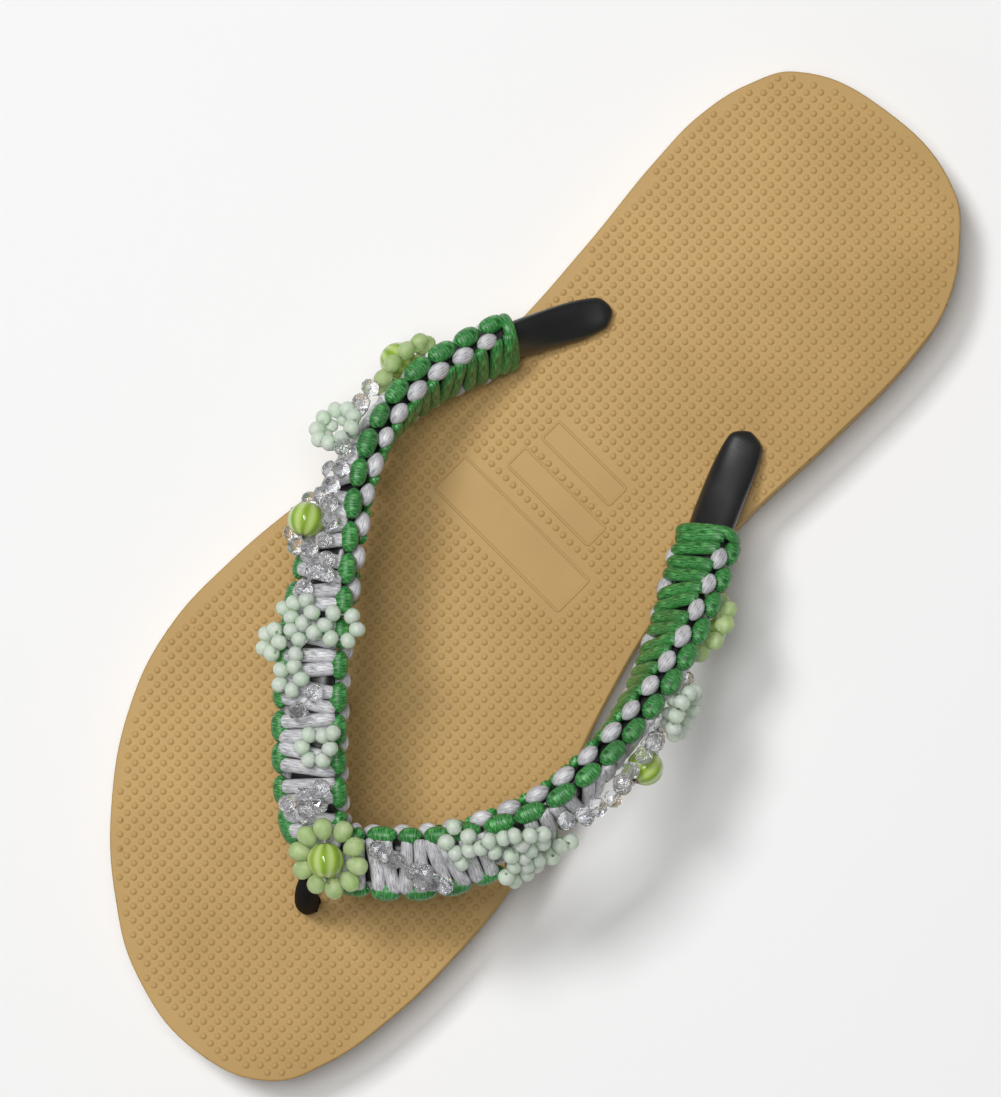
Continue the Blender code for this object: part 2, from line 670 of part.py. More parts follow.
def main():
    clear_scene()
    shoe = make_collection("beaded_flip_flop")
    tools = make_collection("cutters")
    materials = {name: make_material(name) for name in COLORS}
    route = Route()

    holes = stem_meshes(GAP, HEEL_THICKNESS)
    sole_tools = [tread_cutter()] + holes
    combine("sole", sole_slab(), sole_tools, "DIFFERENCE", tools, shoe, materials["rubber_tan"])

    strap_tools = [post_mesh(0.0)] + stem_meshes(0.0, 0.06 * ARCH_HEIGHT)
    combine("strap", arms_mesh(route, 0.0), strap_tools, "UNION", tools, shoe, materials["rubber_black"])

    inside = combine("sleeve_inside", arms_mesh(route, GAP), [post_mesh(GAP)], "UNION", tools, tools, None)
    as_cutter(inside)
    combine("knot_wrap", sleeve_mesh(route), [inside.data], "DIFFERENCE", tools, shoe, materials["satin_cord"])

    for row in LARGE_BEADS:
        new_object(row.name, large_bead_mesh(route, row), shoe, materials["glass_green"])
    for rows, shape in ((RINGS, ring_mesh), (STRINGS, string_mesh)):
        for row in rows:
            new_object(row.name, shape(route, row), shoe, materials[BEADINGS[row.kind].material])
    centre_on_origin(list(shoe.objects))


main()
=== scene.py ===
"""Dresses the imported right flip-flop: tan sole, black rubber thong, knotted satin cord and glass beads."""

import bisect
import math
import random
from collections import namedtuple

import bmesh
import bpy
from mathutils import Matrix, Vector


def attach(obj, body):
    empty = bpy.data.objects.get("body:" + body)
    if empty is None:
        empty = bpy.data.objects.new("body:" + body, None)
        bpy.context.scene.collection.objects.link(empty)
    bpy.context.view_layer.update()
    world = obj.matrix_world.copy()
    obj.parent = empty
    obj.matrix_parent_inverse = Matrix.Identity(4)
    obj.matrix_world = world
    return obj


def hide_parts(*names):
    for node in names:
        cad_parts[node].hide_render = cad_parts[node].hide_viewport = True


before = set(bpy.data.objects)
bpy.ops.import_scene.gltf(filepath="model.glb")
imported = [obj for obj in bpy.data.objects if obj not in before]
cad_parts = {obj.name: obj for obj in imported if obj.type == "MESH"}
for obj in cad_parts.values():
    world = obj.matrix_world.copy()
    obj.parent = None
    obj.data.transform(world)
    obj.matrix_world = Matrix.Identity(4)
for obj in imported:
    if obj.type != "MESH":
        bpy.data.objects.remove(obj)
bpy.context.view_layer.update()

MM = 0.001
TINY = 1e-6
UP = Vector((0, 0, 1))

# Where the sole's own frame, heel tip and middle line, lies in the model's frame
SOLE_ORIGIN = Vector((0.005277, -0.125, 0.0))

# Camera: straight over the place beside the foot, turned so that the toe points to the lower left
VIEW_TURN = math.radians(37.5)
CAMERA_FROM_HEEL = (-0.0685, 0.1304, 0.915)
AIM = (0.0053, 0.0, 0.015)
SENSOR = 36.0
LENS = 138.0

# The shoe's sizes, in metres
SOLE_LENGTH = 0.250
SOLE_WIDTH = 0.093
HALF_WIDTH = SOLE_WIDTH / 2
HEEL_THICKNESS = 0.0156
BALL_THICKNESS = 0.0140
TOE_THICKNESS = 0.0127
WAIST_LIFT = 0.0010
TOE_SPRING = 0.0038
GROUND_EDGE_RADIUS = 0.0020
RIM_CHAMFER = 0.0005
TREAD_PITCH = 0.0050
TREAD_GROOVE_WIDTH = 0.0018
TREAD_GROOVE_DEPTH = 0.0009
ARCH_HEIGHT = 0.0326
STRAP_WIDTH = 0.0090
STRAP_THICKNESS = 0.0040
STRAP_END_ROUNDING = 0.0026
STRAP_END_LEAST = 0.10
STRAP_END_STEPS = [value * MM for value in (0.0, 0.04, 0.15, 0.35, 0.65, 1.0, 1.4, 1.85, 2.3, 2.8)]
STRAP_FLATNESS = 0.72
STRAP_CROWN = 1.05
POST_DIAMETER = 0.0052
POST_FLARE = 0.18
POST_FLARE_END = 0.25
POST_SINK = 0.10
STEM_DIAMETER = 0.0060
PLUG_DIAMETER = 0.0160
PLUG_THICKNESS = 0.0026
PLUG_RECESS = 0.0008
HOLE_INSET = 0.0035
SLEEVE_WIDTH = 0.0158
SLEEVE_HALF_THICKNESS = 0.0042
SLEEVE_EDGE_RADIUS = 0.0029
EDGE_DROP_LIMIT = 0.4
KNOT_PITCH = 0.0066
GAP = 0.0003
STEM_GAP = 0.00005
POST_GAP = 0.0001
CUT_DEPTH = 0.012
CUT_BELOW = 0.003
CUT_OVERLAP = 0.001
CUT_ABOVE = 0.010
FOOTBED_FROM = 0.009

# Places along the sole, as shares of its length, and its tips, as shares of its half width
SOLE_STATIONS = 25
HEEL_FLAT_END = 0.22
FOREFOOT_FLAT_START = 0.50
FOREFOOT_FLAT_END = 0.66
BALL_FROM = 0.62
BALL_TO = 0.70
HEEL_TIP_ACROSS = -0.172
TOE_TIP_ACROSS = -0.310

# Numbers of corners and steps
OUTLINE_STEPS = 9
CUTTER_SIDES = 48
STRAP_SIDES = 28
STRAP_RINGS = 220
POST_SIDES = 24
PLUG_SIDES = 40
PIP_SIDES = 8
CORD_STEPS = 14

OutlineRow = namedtuple("OutlineRow", "along outer inner")
OUTLINE = [OutlineRow(*row) for row in (
    (0.020, 0.265, 0.654),
    (0.050, 0.394, 0.810),
    (0.100, 0.495, 0.944),
    (0.150, 0.527, 0.968),
    (0.250, 0.544, 0.908),
    (0.350, 0.585, 0.815),
    (0.450, 0.700, 0.760),
    (0.550, 0.840, 0.815),
    (0.650, 0.963, 0.927),
    (0.730, 1.000, 0.991),
    (0.800, 0.925, 0.980),
    (0.880, 0.703, 0.916),
    (0.940, 0.424, 0.813),
    (0.980, 0.129, 0.665),
)]

# Route of the thong's arms, from the outer plug over the crossing to the inner plug
RouteRow = namedtuple("RouteRow", "across along height roll wide thick sleeve", defaults=(1.0, 1.0, 1.0))
ROUTE = [RouteRow(*row) for row in (
    (0.260, 0.280, 0.060, 180, 0.50, 0.45, 1.00),
    (0.290, 0.287, 0.064, 178, 0.76, 0.60, 1.00),
    (0.355, 0.305, 0.086, 164, 0.96, 0.85, 1.00),
    (0.450, 0.331, 0.128, 144, 1.04, 1.10, 1.00),
    (0.538, 0.357, 0.200, 124, 1.12, 1.25, 0.96),
    (0.618, 0.388, 0.306, 114),
    (0.704, 0.430, 0.474, 103),
    (0.730, 0.480, 0.660, 85),
    (0.670, 0.534, 0.830, 62),
    (0.528, 0.592, 0.951, 38),
    (0.341, 0.656, 1.000, 20),
    (0.103, 0.722, 0.951, 10),
    (-0.056, 0.759, 0.866, 13, 1.00, 1.00, 0.98),
    (-0.138, 0.775, 0.805, 18, 1.00, 1.00, 0.93),
    (-0.249, 0.783, 0.775, 22, 1.00, 1.00, 0.90),
    (-0.366, 0.780, 0.800, 20, 1.00, 1.00, 0.93),
    (-0.467, 0.768, 0.846, 16, 1.00, 1.00, 0.98),
    (-0.641, 0.742, 0.920, 21),
    (-0.805, 0.702, 0.985, 42),
    (-0.936, 0.646, 0.975, 66),
    (-0.977, 0.582, 0.850, 87),
    (-0.955, 0.521, 0.670, 105),
    (-0.890, 0.468, 0.505, 124),
    (-0.800, 0.420, 0.330, 140),
    (-0.728, 0.383, 0.212, 150, 1.16, 1.25, 0.96),
    (-0.672, 0.350, 0.134, 159, 1.12, 1.10, 1.00),
    (-0.628, 0.320, 0.086, 169, 1.04, 0.85, 1.00),
    (-0.598, 0.299, 0.064, 178, 0.84, 0.60, 1.00),
    (-0.590, 0.291, 0.060, 180, 0.50, 0.45, 1.00),
)]
SLEEVE_FIRST_ROW = 4
SLEEVE_LAST_ROW = 24
CROSSING_ROW = 14

PostRow = namedtuple("PostRow", "across along height")
POST = [PostRow(*row) for row in (
    (-0.254, 0.788, 0.745),
    (-0.262, 0.810, 0.650),
    (-0.276, 0.828, 0.460),
    (-0.290, 0.838, 0.225),
    (-0.295, 0.841, 0.060),
)]

# Smooth patches of the footbed, with no pimples: middle in the model's frame, length and width, in mm
Panel = namedtuple("Panel", "x y length width")
PANELS = (Panel(5.4, -3.9, 37.8, 9.6), Panel(2.6, -16.2, 24.5, 5.5), Panel(2.2, -25.4, 20.5, 5.2))
PANEL_CORNER_RADIUS = 0.6 * MM
PANEL_RIM_STEP = 2.0 * MM
PANEL_RIM_HALF_WIDTH = 0.32 * MM
PANEL_RIM_HEIGHT = 0.17 * MM

# The footbed's pimples, in a square lattice that is turned a little. The profile is in shares of their radius
# and height.
LATTICE_TURN = math.radians(-7.5)
LATTICE_REACH = 0.14
PIP_PITCH = 2.17 * MM
PIP_RADIUS = 0.86 * MM
PIP_HEIGHT = 0.42 * MM
PIP_MARGIN = 1.5 * MM
PIP_PANEL_ROOM = 1.1
PIP_PROFILE = ((1.0, -0.20), (0.74, 0.50), (0.40, 0.88))

# The cord over a face of the band, and the loops of cord round its edges. A loop's inset is from the sleeve's
# edge to its middle, and its bluntness squares its ends.
FACE_CORD_HALF_WIDTH = 1.50 * MM
FACE_CORD_HALF_HEIGHT = 1.12 * MM
FACE_CORD_INSET = 2.2 * MM
FACE_CORD_DIP = 0.75 * MM
FACE_CORD_SLANT = 0.60 * MM
FACE_CORD_SPREAD = 0.225
FACE_CORD_SHIFT = 0.15 * MM
FACE_CORD_WAVE = 0.12 * MM
FACE_CORD_WAVE_TURN = 2.2
FACE_CORD_NARROWING = 0.10
FACE_CORD_FLATTENING = 0.12
LOOP_HALF_LENGTH = 2.80 * MM
LOOP_HALF_WIDTH = 2.0 * MM
LOOP_HALF_HEIGHT = 1.95 * MM
LOOP_LIFT = 1.62 * MM
LOOP_END_INSET = 0.5 * MM
LOOP_END_DROP = 0.20 * MM
LOOP_LEAST_LENGTH = 0.20
LOOP_ROOM_LIMIT = 1.05
LOOP_SHIFT = 0.2 * MM
LOOP_SIZE_SPREAD = 0.05
LOOP_CROWDING_INSET = 1.7 * MM
LoopStyle = namedtuple("LoopStyle", "face size blunt inset")
GREEN_LOOP = LoopStyle(1, 1.0, 2.7, 1.75 * MM)
SILVER_LOOP = LoopStyle(-1, 0.88, 2.0, 2.00 * MM)
CROWDING_STEP = 0.002
CROWDING_LIMITS = (0.30, 1.2)
CORD_TURN_SHARE = 0.985
END_LOOP_INSET = 1.2 * MM
END_LOOP_HALF_WIDTH = 1.35 * MM
END_LOOP_HALF_HEIGHT = 1.15 * MM
END_LOOP_SWAY = 0.25 * MM
END_LOOP_FLATNESS = 0.72

# Sizes of the beads. Seed beads are drawn larger than their pitch, since they overlap in the photograph.
LARGE_BEAD_DIAMETER = 0.0073
LARGE_BEAD_SWELL = 1.05
DIAMETERS = {"petals": 0.0042, "mint": 0.0030, "crystals": 0.0041}
MINT_SWELL = 1.20
CRYSTAL_SWELL = 1.02
THREAD_RADIUS = 0.16 * MM
THREAD_ARC_RADIUS = 0.22 * MM
THREAD_BOW = 0.2 * MM
GROUP_SIZES = (0.95, 1.0)
SMALL_SIZES = (0.92, 1.0)
WOBBLE = 0.12

# The second row of beads inside a loop that stands off: its reach as a share of the loop's, its depth under
# the loop, and the room that each bead needs, as a share of its radius
INNER_LOOP_SHARE = 0.74
INNER_LOOP_DEPTH = 2.1 * MM
INNER_LOOP_ROOM = 0.4

# Arc of thread out of a large bead: distance along the bead's axis and height over it, in radii
THREAD_ARC = ((0.80, 0.0), (1.02, 0.12), (1.12, 0.05), (1.20, -0.25), (1.30, -0.60))

LargeRow = namedtuple("LargeRow", "name arm share across axis")
LARGE_BEADS = [LargeRow(*row) for row in (
    ("glass_bead_front", "inner", 0.020, -0.08, "photo"),
    ("glass_bead_outer_side", "outer", 0.525, 0.08, "along"),
    ("glass_bead_outer_heel", "outer", 0.830, 0.00, "out"),
    ("glass_bead_inner_side", "inner", 0.572, 0.06, "along"),
    ("glass_bead_inner_heel", "inner", 0.845, 0.00, "out"),
)]
RingRow = namedtuple("RingRow", "name kind arm share across count lean")
RINGS = [RingRow(*row) for row in (
    ("petals_front", "petals", "inner", 0.020, -0.08, 10, 0),
    ("petals_outer_heel", "petals", "outer", 0.830, 0.00, 10, 0),
    ("petals_inner_heel", "petals", "inner", 0.845, 0.00, 10, 0),
    ("crystals_outer_side", "crystals", "outer", 0.525, 0.08, 9, 0),
    ("crystals_inner_side", "crystals", "inner", 0.572, 0.06, 9, 0),
    ("mint_outer_loop", "mint", "outer", 0.672, -0.40, 9, 38),
    ("mint_outer_flower_1", "mint", "outer", 0.385, 0.15, 5, 0),
    ("mint_outer_flower_2", "mint", "outer", 0.368, -0.97, 6, 0),
    ("mint_outer_flower_3", "mint", "outer", 0.335, 1.05, 5, 0),
    ("mint_outer_flower_4", "mint", "outer", 0.283, 0.38, 5, 0),
    ("mint_outer_flower_5", "mint", "outer", 0.178, -0.35, 6, 0),
    ("mint_inner_loop", "mint", "inner", 0.685, -0.20, 10, 32),
    ("mint_inner_flower_1", "mint", "inner", 0.256, -0.85, 5, 0),
    ("mint_inner_flower_2", "mint", "inner", 0.360, -0.30, 5, 0),
    ("mint_inner_flower_3", "mint", "inner", 0.315, 0.68, 5, 0),
    ("mint_inner_flower_4", "mint", "inner", 0.390, 0.88, 5, 0),
)]
StringRow = namedtuple("StringRow", "name kind arm share across heading count")
STRINGS = [StringRow(*row) for row in (
    ("crystals_outer_heel", "crystals", "outer", 0.735, -0.10, 90, 2),
    ("crystals_outer_loop", "crystals", "outer", 0.606, -0.90, 90, 2),
    ("crystals_outer_front", "crystals", "outer", 0.118, -0.50, 115, 3),
    ("crystals_inner_front", "crystals", "inner", 0.110, -0.60, 30, 4),
    ("crystals_inner_ball", "crystals", "inner", 0.415, -0.65, 37, 3),
    ("crystals_inner_heel", "crystals", "inner", 0.745, 0.10, 90, 2),
)]

# The photograph's camera: straight down, pixels of the middle, and pixels for one metre at one metre
PHOTO_MIDDLE = (500.5, 548.5)
PHOTO_FOCAL = 3325.5

# Beads that are too small to be solids of their own, by the pixel of the photograph that shows them. The
# third number is how far they stand over the sleeve, in mm, where they lie on other beads or on threads.
SMALL_CRYSTALS = (
    (209.5, 252.0, 0.6), (202.0, 265.5, 0.6), (223.0, 249.0, 0.0), (194.0, 301.0, 0.4),
    (184.0, 312.0, 0.3), (177.0, 327.0, 0.0), (170.0, 336.0, 0.0), (179.0, 342.0, 0.0),
    (163.0, 396.0, 0.0), (155.0, 410.0, 0.0), (174.0, 387.0, 0.0), (173.0, 399.0, 0.0),
    (164.0, 493.0, 0.0), (150.0, 507.0, 0.0), (173.0, 562.0, 0.0), (163.0, 571.0, 0.0),
    (154.0, 591.0, 0.0), (168.0, 583.0, 0.0), (200.0, 610.0, 0.0), (212.0, 617.0, 0.0),
    (226.0, 631.0, 0.0), (237.0, 637.0, 0.0), (248.0, 641.0, 0.0), (262.0, 642.0, 0.0),
    (222.0, 621.0, 0.8), (233.0, 630.0, 0.6), (254.0, 634.0, 0.6), (269.0, 645.0, 0.2),
    (167.0, 575.0, 0.8), (159.0, 586.0, 0.8), (355.0, 587.0, 0.0), (369.0, 590.0, 0.0),
    (380.0, 591.0, 0.0), (391.0, 583.0, 0.0), (404.0, 579.0, 0.0), (408.0, 567.0, 0.0),
    (419.0, 539.0, 0.0), (431.0, 536.0, 0.3), (430.0, 523.0, 0.0), (440.0, 518.0, 0.0),
    (458.0, 478.0, 0.3),
)
SMALL_MINT = (
    (139.5, 427.0, 0.3), (145.0, 422.5, 0.3), (155.3, 425.4, 0.2), (141.0, 434.0, 0.0),
    (151.0, 435.3, 0.6), (145.4, 444.1, 0.2), (155.3, 441.9, 0.2), (164.1, 445.2, 0.4),
    (171.8, 436.4, 0.3), (180.7, 429.8, 0.2), (189.5, 437.5, 0.1), (186.2, 449.6, 0.1),
    (176.2, 454.0, 0.3), (167.4, 452.9, 0.5), (179.0, 442.0, 0.7), (133.2, 452.9, 0.0),
    (142.1, 455.1, 0.2), (149.8, 463.0, 0.4), (136.5, 470.6, 0.0), (152.0, 451.0, 0.3),
    (153.1, 472.8, 0.3), (149.8, 479.4, 0.2), (141.0, 483.8, 0.0), (136.5, 490.4, 0.0),
    (143.2, 494.8, 0.2), (147.0, 487.0, 0.5), (159.7, 523.5, 0.2), (171.8, 521.3, 0.2),
    (178.4, 525.7, 0.2), (181.8, 536.7, 0.2), (176.2, 546.7, 0.2), (167.4, 552.2, 0.2),
    (159.7, 545.6, 0.2), (156.4, 535.6, 0.2), (271.0, 606.5, 0.2), (281.0, 600.0, 0.3),
    (288.7, 607.6, 0.2), (268.0, 615.3, 0.1), (277.6, 617.5, 0.4), (288.7, 618.6, 0.3),
    (282.0, 627.4, 0.1), (303.0, 607.6, 0.2), (296.4, 614.2, 0.4), (307.4, 617.5, 0.3),
    (314.0, 606.5, 0.2), (322.8, 602.1, 0.3), (333.9, 599.9, 0.2), (342.7, 602.1, 0.1),
    (350.4, 605.4, 0.1), (326.2, 612.0, 0.5), (336.1, 611.0, 0.6), (345.0, 613.0, 0.3),
    (320.7, 620.8, 0.3), (331.7, 622.0, 0.3), (341.6, 624.1, 0.2), (360.3, 614.2, 0.0),
    (367.0, 620.8, 0.0), (364.0, 631.9, 0.0), (352.6, 627.4, 0.1), (343.8, 634.1, 0.0),
)
SmallRow = namedtuple("SmallRow", "kind px py rise")
SMALL_BEADS = ([SmallRow("crystals", *spot) for spot in SMALL_CRYSTALS]
               + [SmallRow("mint", *spot) for spot in SMALL_MINT])

# How deep a small bead may sit in another, as a share of its radius
OVERLAP_LIMIT = {"crystals": 0.95, "mint": 0.60}

# Places tried for the small beads: a lattice over the sleeve's outer face, clear of its edges
GRID_STEP = 0.4 * MM
GRID_COLUMNS = 22
GRID_INSET = 1.6 * MM
GRID_LIFT = 0.1 * MM

# Pixels that a place may be farther off for each metre that it lies higher, and the longest thread between
# two small beads, as a share of their diameter
PIXELS_FOR_HEIGHT = 20
THREAD_REACH = 2.2

Lamp = namedtuple("Lamp", "name towards distance size power")
LAMPS = (
    Lamp("key", (0.85, -0.12, 1.70), 2.6, 0.60, 33.0),
    Lamp("overhead", (0.06, -0.01, 1.0), 1.5, 0.6, 10.5),
    Lamp("rim", (0.1, 1.0, 0.55), 1.6, 0.9, 1.0),
)
SKY_STRENGTH = 0.11
FLOOR_HALF_SIZE = 6.0
FLOOR_HEIGHT = -0.0002


# Small helpers

def blend(low, high, share):
    return low + (high - low) * share


def signed_power(value, power):
    return math.copysign(abs(value) ** power, value)


def rotated(a, b, angle):
    """A flat place, turned round the origin."""
    return a * math.cos(angle) - b * math.sin(angle), a * math.sin(angle) + b * math.cos(angle)


def turns(count, start=0.0):
    """Angles of evenly spaced points round a circle."""
    return [2 * math.pi * (number + start) / count for number in range(count)]


def circle(centre, side, over, count, start=0.0):
    """Points round a centre. The two vectors are the half axes."""
    return [centre + side * math.cos(t) + over * math.sin(t) for t in turns(count, start)]


def band(first, second, count):
    """Four-sided faces between two rings of vertices, each ring given by its first vertex."""
    for corner in range(count):
        beside = (corner + 1) % count
        yield first + corner, first + beside, second + beside, second + corner


def fan(first, tip, count):
    """Three-sided faces between a ring of vertices and one more vertex."""
    for corner in range(count):
        yield first + corner, first + (corner + 1) % count, tip


def directions(points, closed=False):
    """Direction of a line at each of its points."""
    last = len(points) - 1
    found = []
    for number in range(last + 1):
        before = number - 1 if closed else max(number - 1, 0)
        after = (number + 1) % (last + 1) if closed else min(number + 1, last)
        found.append((points[after] - points[before]).normalized())
    return found


def smooth_rows(rows, steps):
    """Catmull-Rom curve through rows of numbers."""
    ends = [rows[0]] + list(rows) + [rows[-1]]
    curve = []
    for one, two, three, four in zip(ends, ends[1:], ends[2:], ends[3:]):
        for step in range(steps):
            t = step / steps
            point = []
            for a, b, c, d in zip(one, two, three, four):
                cubic = 2 * b + (c - a) * t + (2 * a - 5 * b + 4 * c - d) * t * t
                point.append(0.5 * (cubic + (3 * b - 3 * c + d - a) * t ** 3))
            curve.append(point)
    curve.append(list(rows[-1]))
    return curve


def linked(name, data):
    made = bpy.data.objects.new(name, data)
    bpy.context.scene.collection.objects.link(made)
    return made


def temporary(name, bm):
    bmesh.ops.recalc_face_normals(bm, faces=bm.faces)
    mesh = bpy.data.meshes.new(name)
    bm.to_mesh(mesh)
    bm.free()
    return linked(name, mesh)


def evaluated_mesh(obj):
    """Mesh of an object with its modifiers applied. The object itself is removed."""
    bpy.context.view_layer.update()
    mesh = bpy.data.meshes.new_from_object(obj.evaluated_get(bpy.context.evaluated_depsgraph_get()))
    bpy.data.objects.remove(obj)
    return mesh


def place(obj, slot, *nodes):
    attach(obj, "root")
    if nodes:
        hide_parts(*nodes)


class Shape:
    """Vertices, faces and lengthwise coordinates of a mesh that grows piece by piece."""

    def __init__(self):
        self.verts, self.faces, self.uvs, self.flags = [], [], [], []

    def rings(self, rings):
        """Adds rings of vertices and gives the number of the first one."""
        base = len(self.verts)
        for ring in rings:
            self.verts.extend(ring)
        return base

    def tip(self, point):
        self.verts.append(point)
        return len(self.verts) - 1

    def face(self, corners, uvs=None, flag=0):
        self.faces.append(corners)
        self.uvs.append(uvs or ((0, 0),) * len(corners))
        self.flags.append(flag)

    def tube(self, rings, closed=False, flag=0, turned=False):
        """Skin over rings of points. Its coordinates are mm round the tube and along it, or turned."""
        count = len(rings[0])
        base = self.rings(rings)
        middle = [sum(ring, Vector()) / count for ring in rings]
        girth = max((ring[0] - m).length for ring, m in zip(rings, middle)) * 2 * math.pi / MM
        around = [girth * corner / count for corner in range(count + 1)]
        along = [0.0]
        for a, b in zip(middle, middle[1:] + middle[:1]):
            along.append(along[-1] + (b - a).length / MM)
        for number in range(len(rings) if closed else len(rings) - 1):
            after = (number + 1) % len(rings)
            v0, v1 = along[number:number + 2]
            for corner, quad in enumerate(band(base + number * count, base + after * count, count)):
                u0, u1 = around[corner:corner + 2]
                corners = ((u0, v0), (u1, v0), (u1, v1), (u0, v1))
                if turned:
                    corners = tuple((v, u) for u, v in corners)
                self.face(quad, corners, flag)
        for number in () if closed else (0, len(rings) - 1):
            tip = self.tip(middle[number])
            for corner, trio in enumerate(fan(base + number * count, tip, count)):
                self.face(trio, ((around[corner], along[number]),) * 3, flag)

    def made(self, name, *materials, smooth=True):
        mesh = bpy.data.meshes.new(name)
        mesh.from_pydata([tuple(v) for v in self.verts], [], self.faces)
        layer = mesh.uv_layers.new(name="run")
        layer.data.foreach_set("uv", [value for face in self.uvs for uv in face for value in uv])
        mesh.polygons.foreach_set("material_index", self.flags)
        mesh.polygons.foreach_set("use_smooth", [smooth] * len(mesh.polygons))
        bm = bmesh.new()
        bm.from_mesh(mesh)
        bmesh.ops.recalc_face_normals(bm, faces=bm.faces)
        bm.to_mesh(mesh)
        bm.free()
        for material in materials:
            mesh.materials.append(material)
        return linked(name, mesh)


# Materials

class Look:
    """Material that grows from its shader. Every source is a node's output."""

    def __init__(self, name, **values):
        self.material = bpy.data.materials.new(name)
        self.material.use_nodes = True
        self.tree = self.material.node_tree
        self.shader = self.tree.nodes["Principled BSDF"]
        for key, value in values.items():
            self.shader.inputs[key.replace("_", " ")].default_value = value

    def node(self, kind, sources=None, **values):
        """New node with its settings and sockets filled in, and with sources linked to its sockets."""
        node = self.tree.nodes.new("ShaderNode" + kind)
        for key, value in values.items():
            if hasattr(node, key):
                setattr(node, key, value)
            else:
                node.inputs[key.replace("_", " ")].default_value = value
        for socket, source in (sources or {}).items():
            self.tree.links.new(source, node.inputs[socket])
        return node

    def noise(self, scale, detail):
        where = self.node("TexCoord").outputs["Object"]
        return self.node("TexNoise", {"Vector": where}, Scale=scale, Detail=detail).outputs["Fac"]

    def run(self):
        """Coordinates round a piece and along it."""
        return self.node("UVMap", uv_map="run").outputs["UV"]

    def ramp(self, source, *stops):
        node = self.node("ValToRGB", {"Fac": source})
        points = node.color_ramp.elements
        while len(points) < len(stops):
            points.new(0.5)
        for point, (position, color) in zip(points, stops):
            point.position = position
            point.color = (*color, 1.0)
        return node.outputs["Color"]

    def multiply(self, one, two, share):
        node = self.node("MixRGB", {"Color1": one, "Color2": two}, blend_type="MULTIPLY", Fac=share)
        return node.outputs["Color"]

    def bump(self, source, strength, depth):
        return self.node("Bump", {"Height": source}, Strength=strength, Distance=depth).outputs["Normal"]

    def done(self, color, **sources):
        self.tree.links.new(color, self.shader.inputs["Base Color"])
        for key, source in sources.items():
            self.tree.links.new(source, self.shader.inputs[key])
        return self.material


def rubber_tan(name, light, dark, specks, grain):
    """Foamed tan rubber: faint cloudy tone, dark specks and a fine grain."""
    look = Look(name, Roughness=0.62, Specular_IOR_Level=0.35)
    tone = look.ramp(look.noise(38.0, 5.0), (0.30, dark), (0.70, light))
    cut = look.ramp(look.noise(620.0, 1.0), (0.70 - specks, (1, 1, 1)), (0.76 - specks, (0.42, 0.30, 0.20)))
    fine = look.bump(look.noise(2600.0, 3.0), grain, 0.2 * MM)
    return look.done(look.multiply(tone, cut, 0.75), Normal=fine)


def rubber_black(name, gloss, rough_low, rough_high):
    """Moulded black rubber with a cloudy sheen."""
    look = Look(name, Specular_IOR_Level=gloss)
    cloud = look.noise(90.0, 4.0)
    tone = look.ramp(cloud, (0.30, (0.007, 0.007, 0.008)), (0.75, (0.015, 0.015, 0.016)))
    rough = look.ramp(cloud, (0.30, (rough_low,) * 3), (0.75, (rough_high,) * 3))
    return look.done(tone, Roughness=rough, Normal=look.bump(look.noise(1500.0, 2.0), 0.12, 0.1 * MM))


def satin(name, dark, mid, light):
    """Satin cord: threads that run along it, seen as fine streaks of height and of tone: the threads' own
    tone with painted sheen and painted shade.
    """
    look = Look(name, Roughness=0.34, Specular_IOR_Level=0.6, Sheen_Weight=0.06, Sheen_Roughness=0.35)
    stretch = look.node("Mapping", {"Vector": look.run()}, Scale=(5.5, 0.55, 1.0)).outputs["Vector"]
    threads = look.node("TexNoise", {"Vector": stretch}, Scale=1.0, Detail=3.0, Roughness=0.65).outputs["Fac"]
    # Painted light in the streaks: the light stop is painted sheen and the dark stop painted shade, over the
    # threads' own mid tone.
    tone = look.ramp(threads, (0.34, dark), (0.50, mid), (0.66, light))
    shade = look.ramp(look.noise(160.0, 2.0), (0.30, (0.72, 0.72, 0.72)), (0.70, (1.0, 1.0, 1.0)))
    return look.done(look.multiply(tone, shade, 1.0), Normal=look.bump(threads, 0.75, 0.16 * MM))


def milky_glass(name, dark, light, roughness, clear):
    """Cloudy glass: a soft body colour with some light let through."""
    look = Look(name, Roughness=roughness, IOR=1.4, Specular_IOR_Level=0.3, Transmission_Weight=clear,
                Subsurface_Weight=0.85, Subsurface_Scale=3.0 * MM, Subsurface_Radius=(0.9, 1.0, 0.85))
    tone = look.ramp(look.noise(420.0, 3.0), (0.30, dark), (0.70, light))
    return look.done(tone, Normal=look.bump(look.noise(3200.0, 2.0), 0.15, 0.1 * MM))


def striped_glass():
    """Green glass with lengthwise stripes and pale ends round a dark red core."""
    look = Look("striped_glass", Roughness=0.18, IOR=1.5, Transmission_Weight=0.15, Coat_Weight=0.35,
                Coat_Roughness=0.12)
    run = look.run()
    height = look.node("SeparateXYZ", {"Vector": run}).outputs["Y"]
    wave = look.node("TexWave", {"Vector": run}, wave_type="BANDS", bands_direction="X", Scale=0.314,
                     Distortion=0.6, Detail=2.0, Detail_Scale=0.5).outputs["Fac"]
    stripes = look.ramp(wave, (0.05, (0.27, 0.43, 0.04)), (0.45, (0.40, 0.58, 0.09)),
                        (0.95, (0.55, 0.70, 0.24)))
    ends = look.ramp(height, (0.00, (0.30, 0.015, 0.03)), (0.10, (0.80, 0.78, 0.70)), (0.20, (1, 1, 1)))
    return look.done(look.multiply(stripes, ends, 1.0))


def crystal():
    """Clear cut glass, a little cooler in some places than in others."""
    look = Look("cut_crystal", Roughness=0.0, IOR=1.5, Transmission_Weight=0.92)
    return look.done(look.ramp(look.noise(300.0, 1.0), (0.35, (0.95, 0.96, 1.0)), (0.65, (1.0, 0.99, 0.98))))


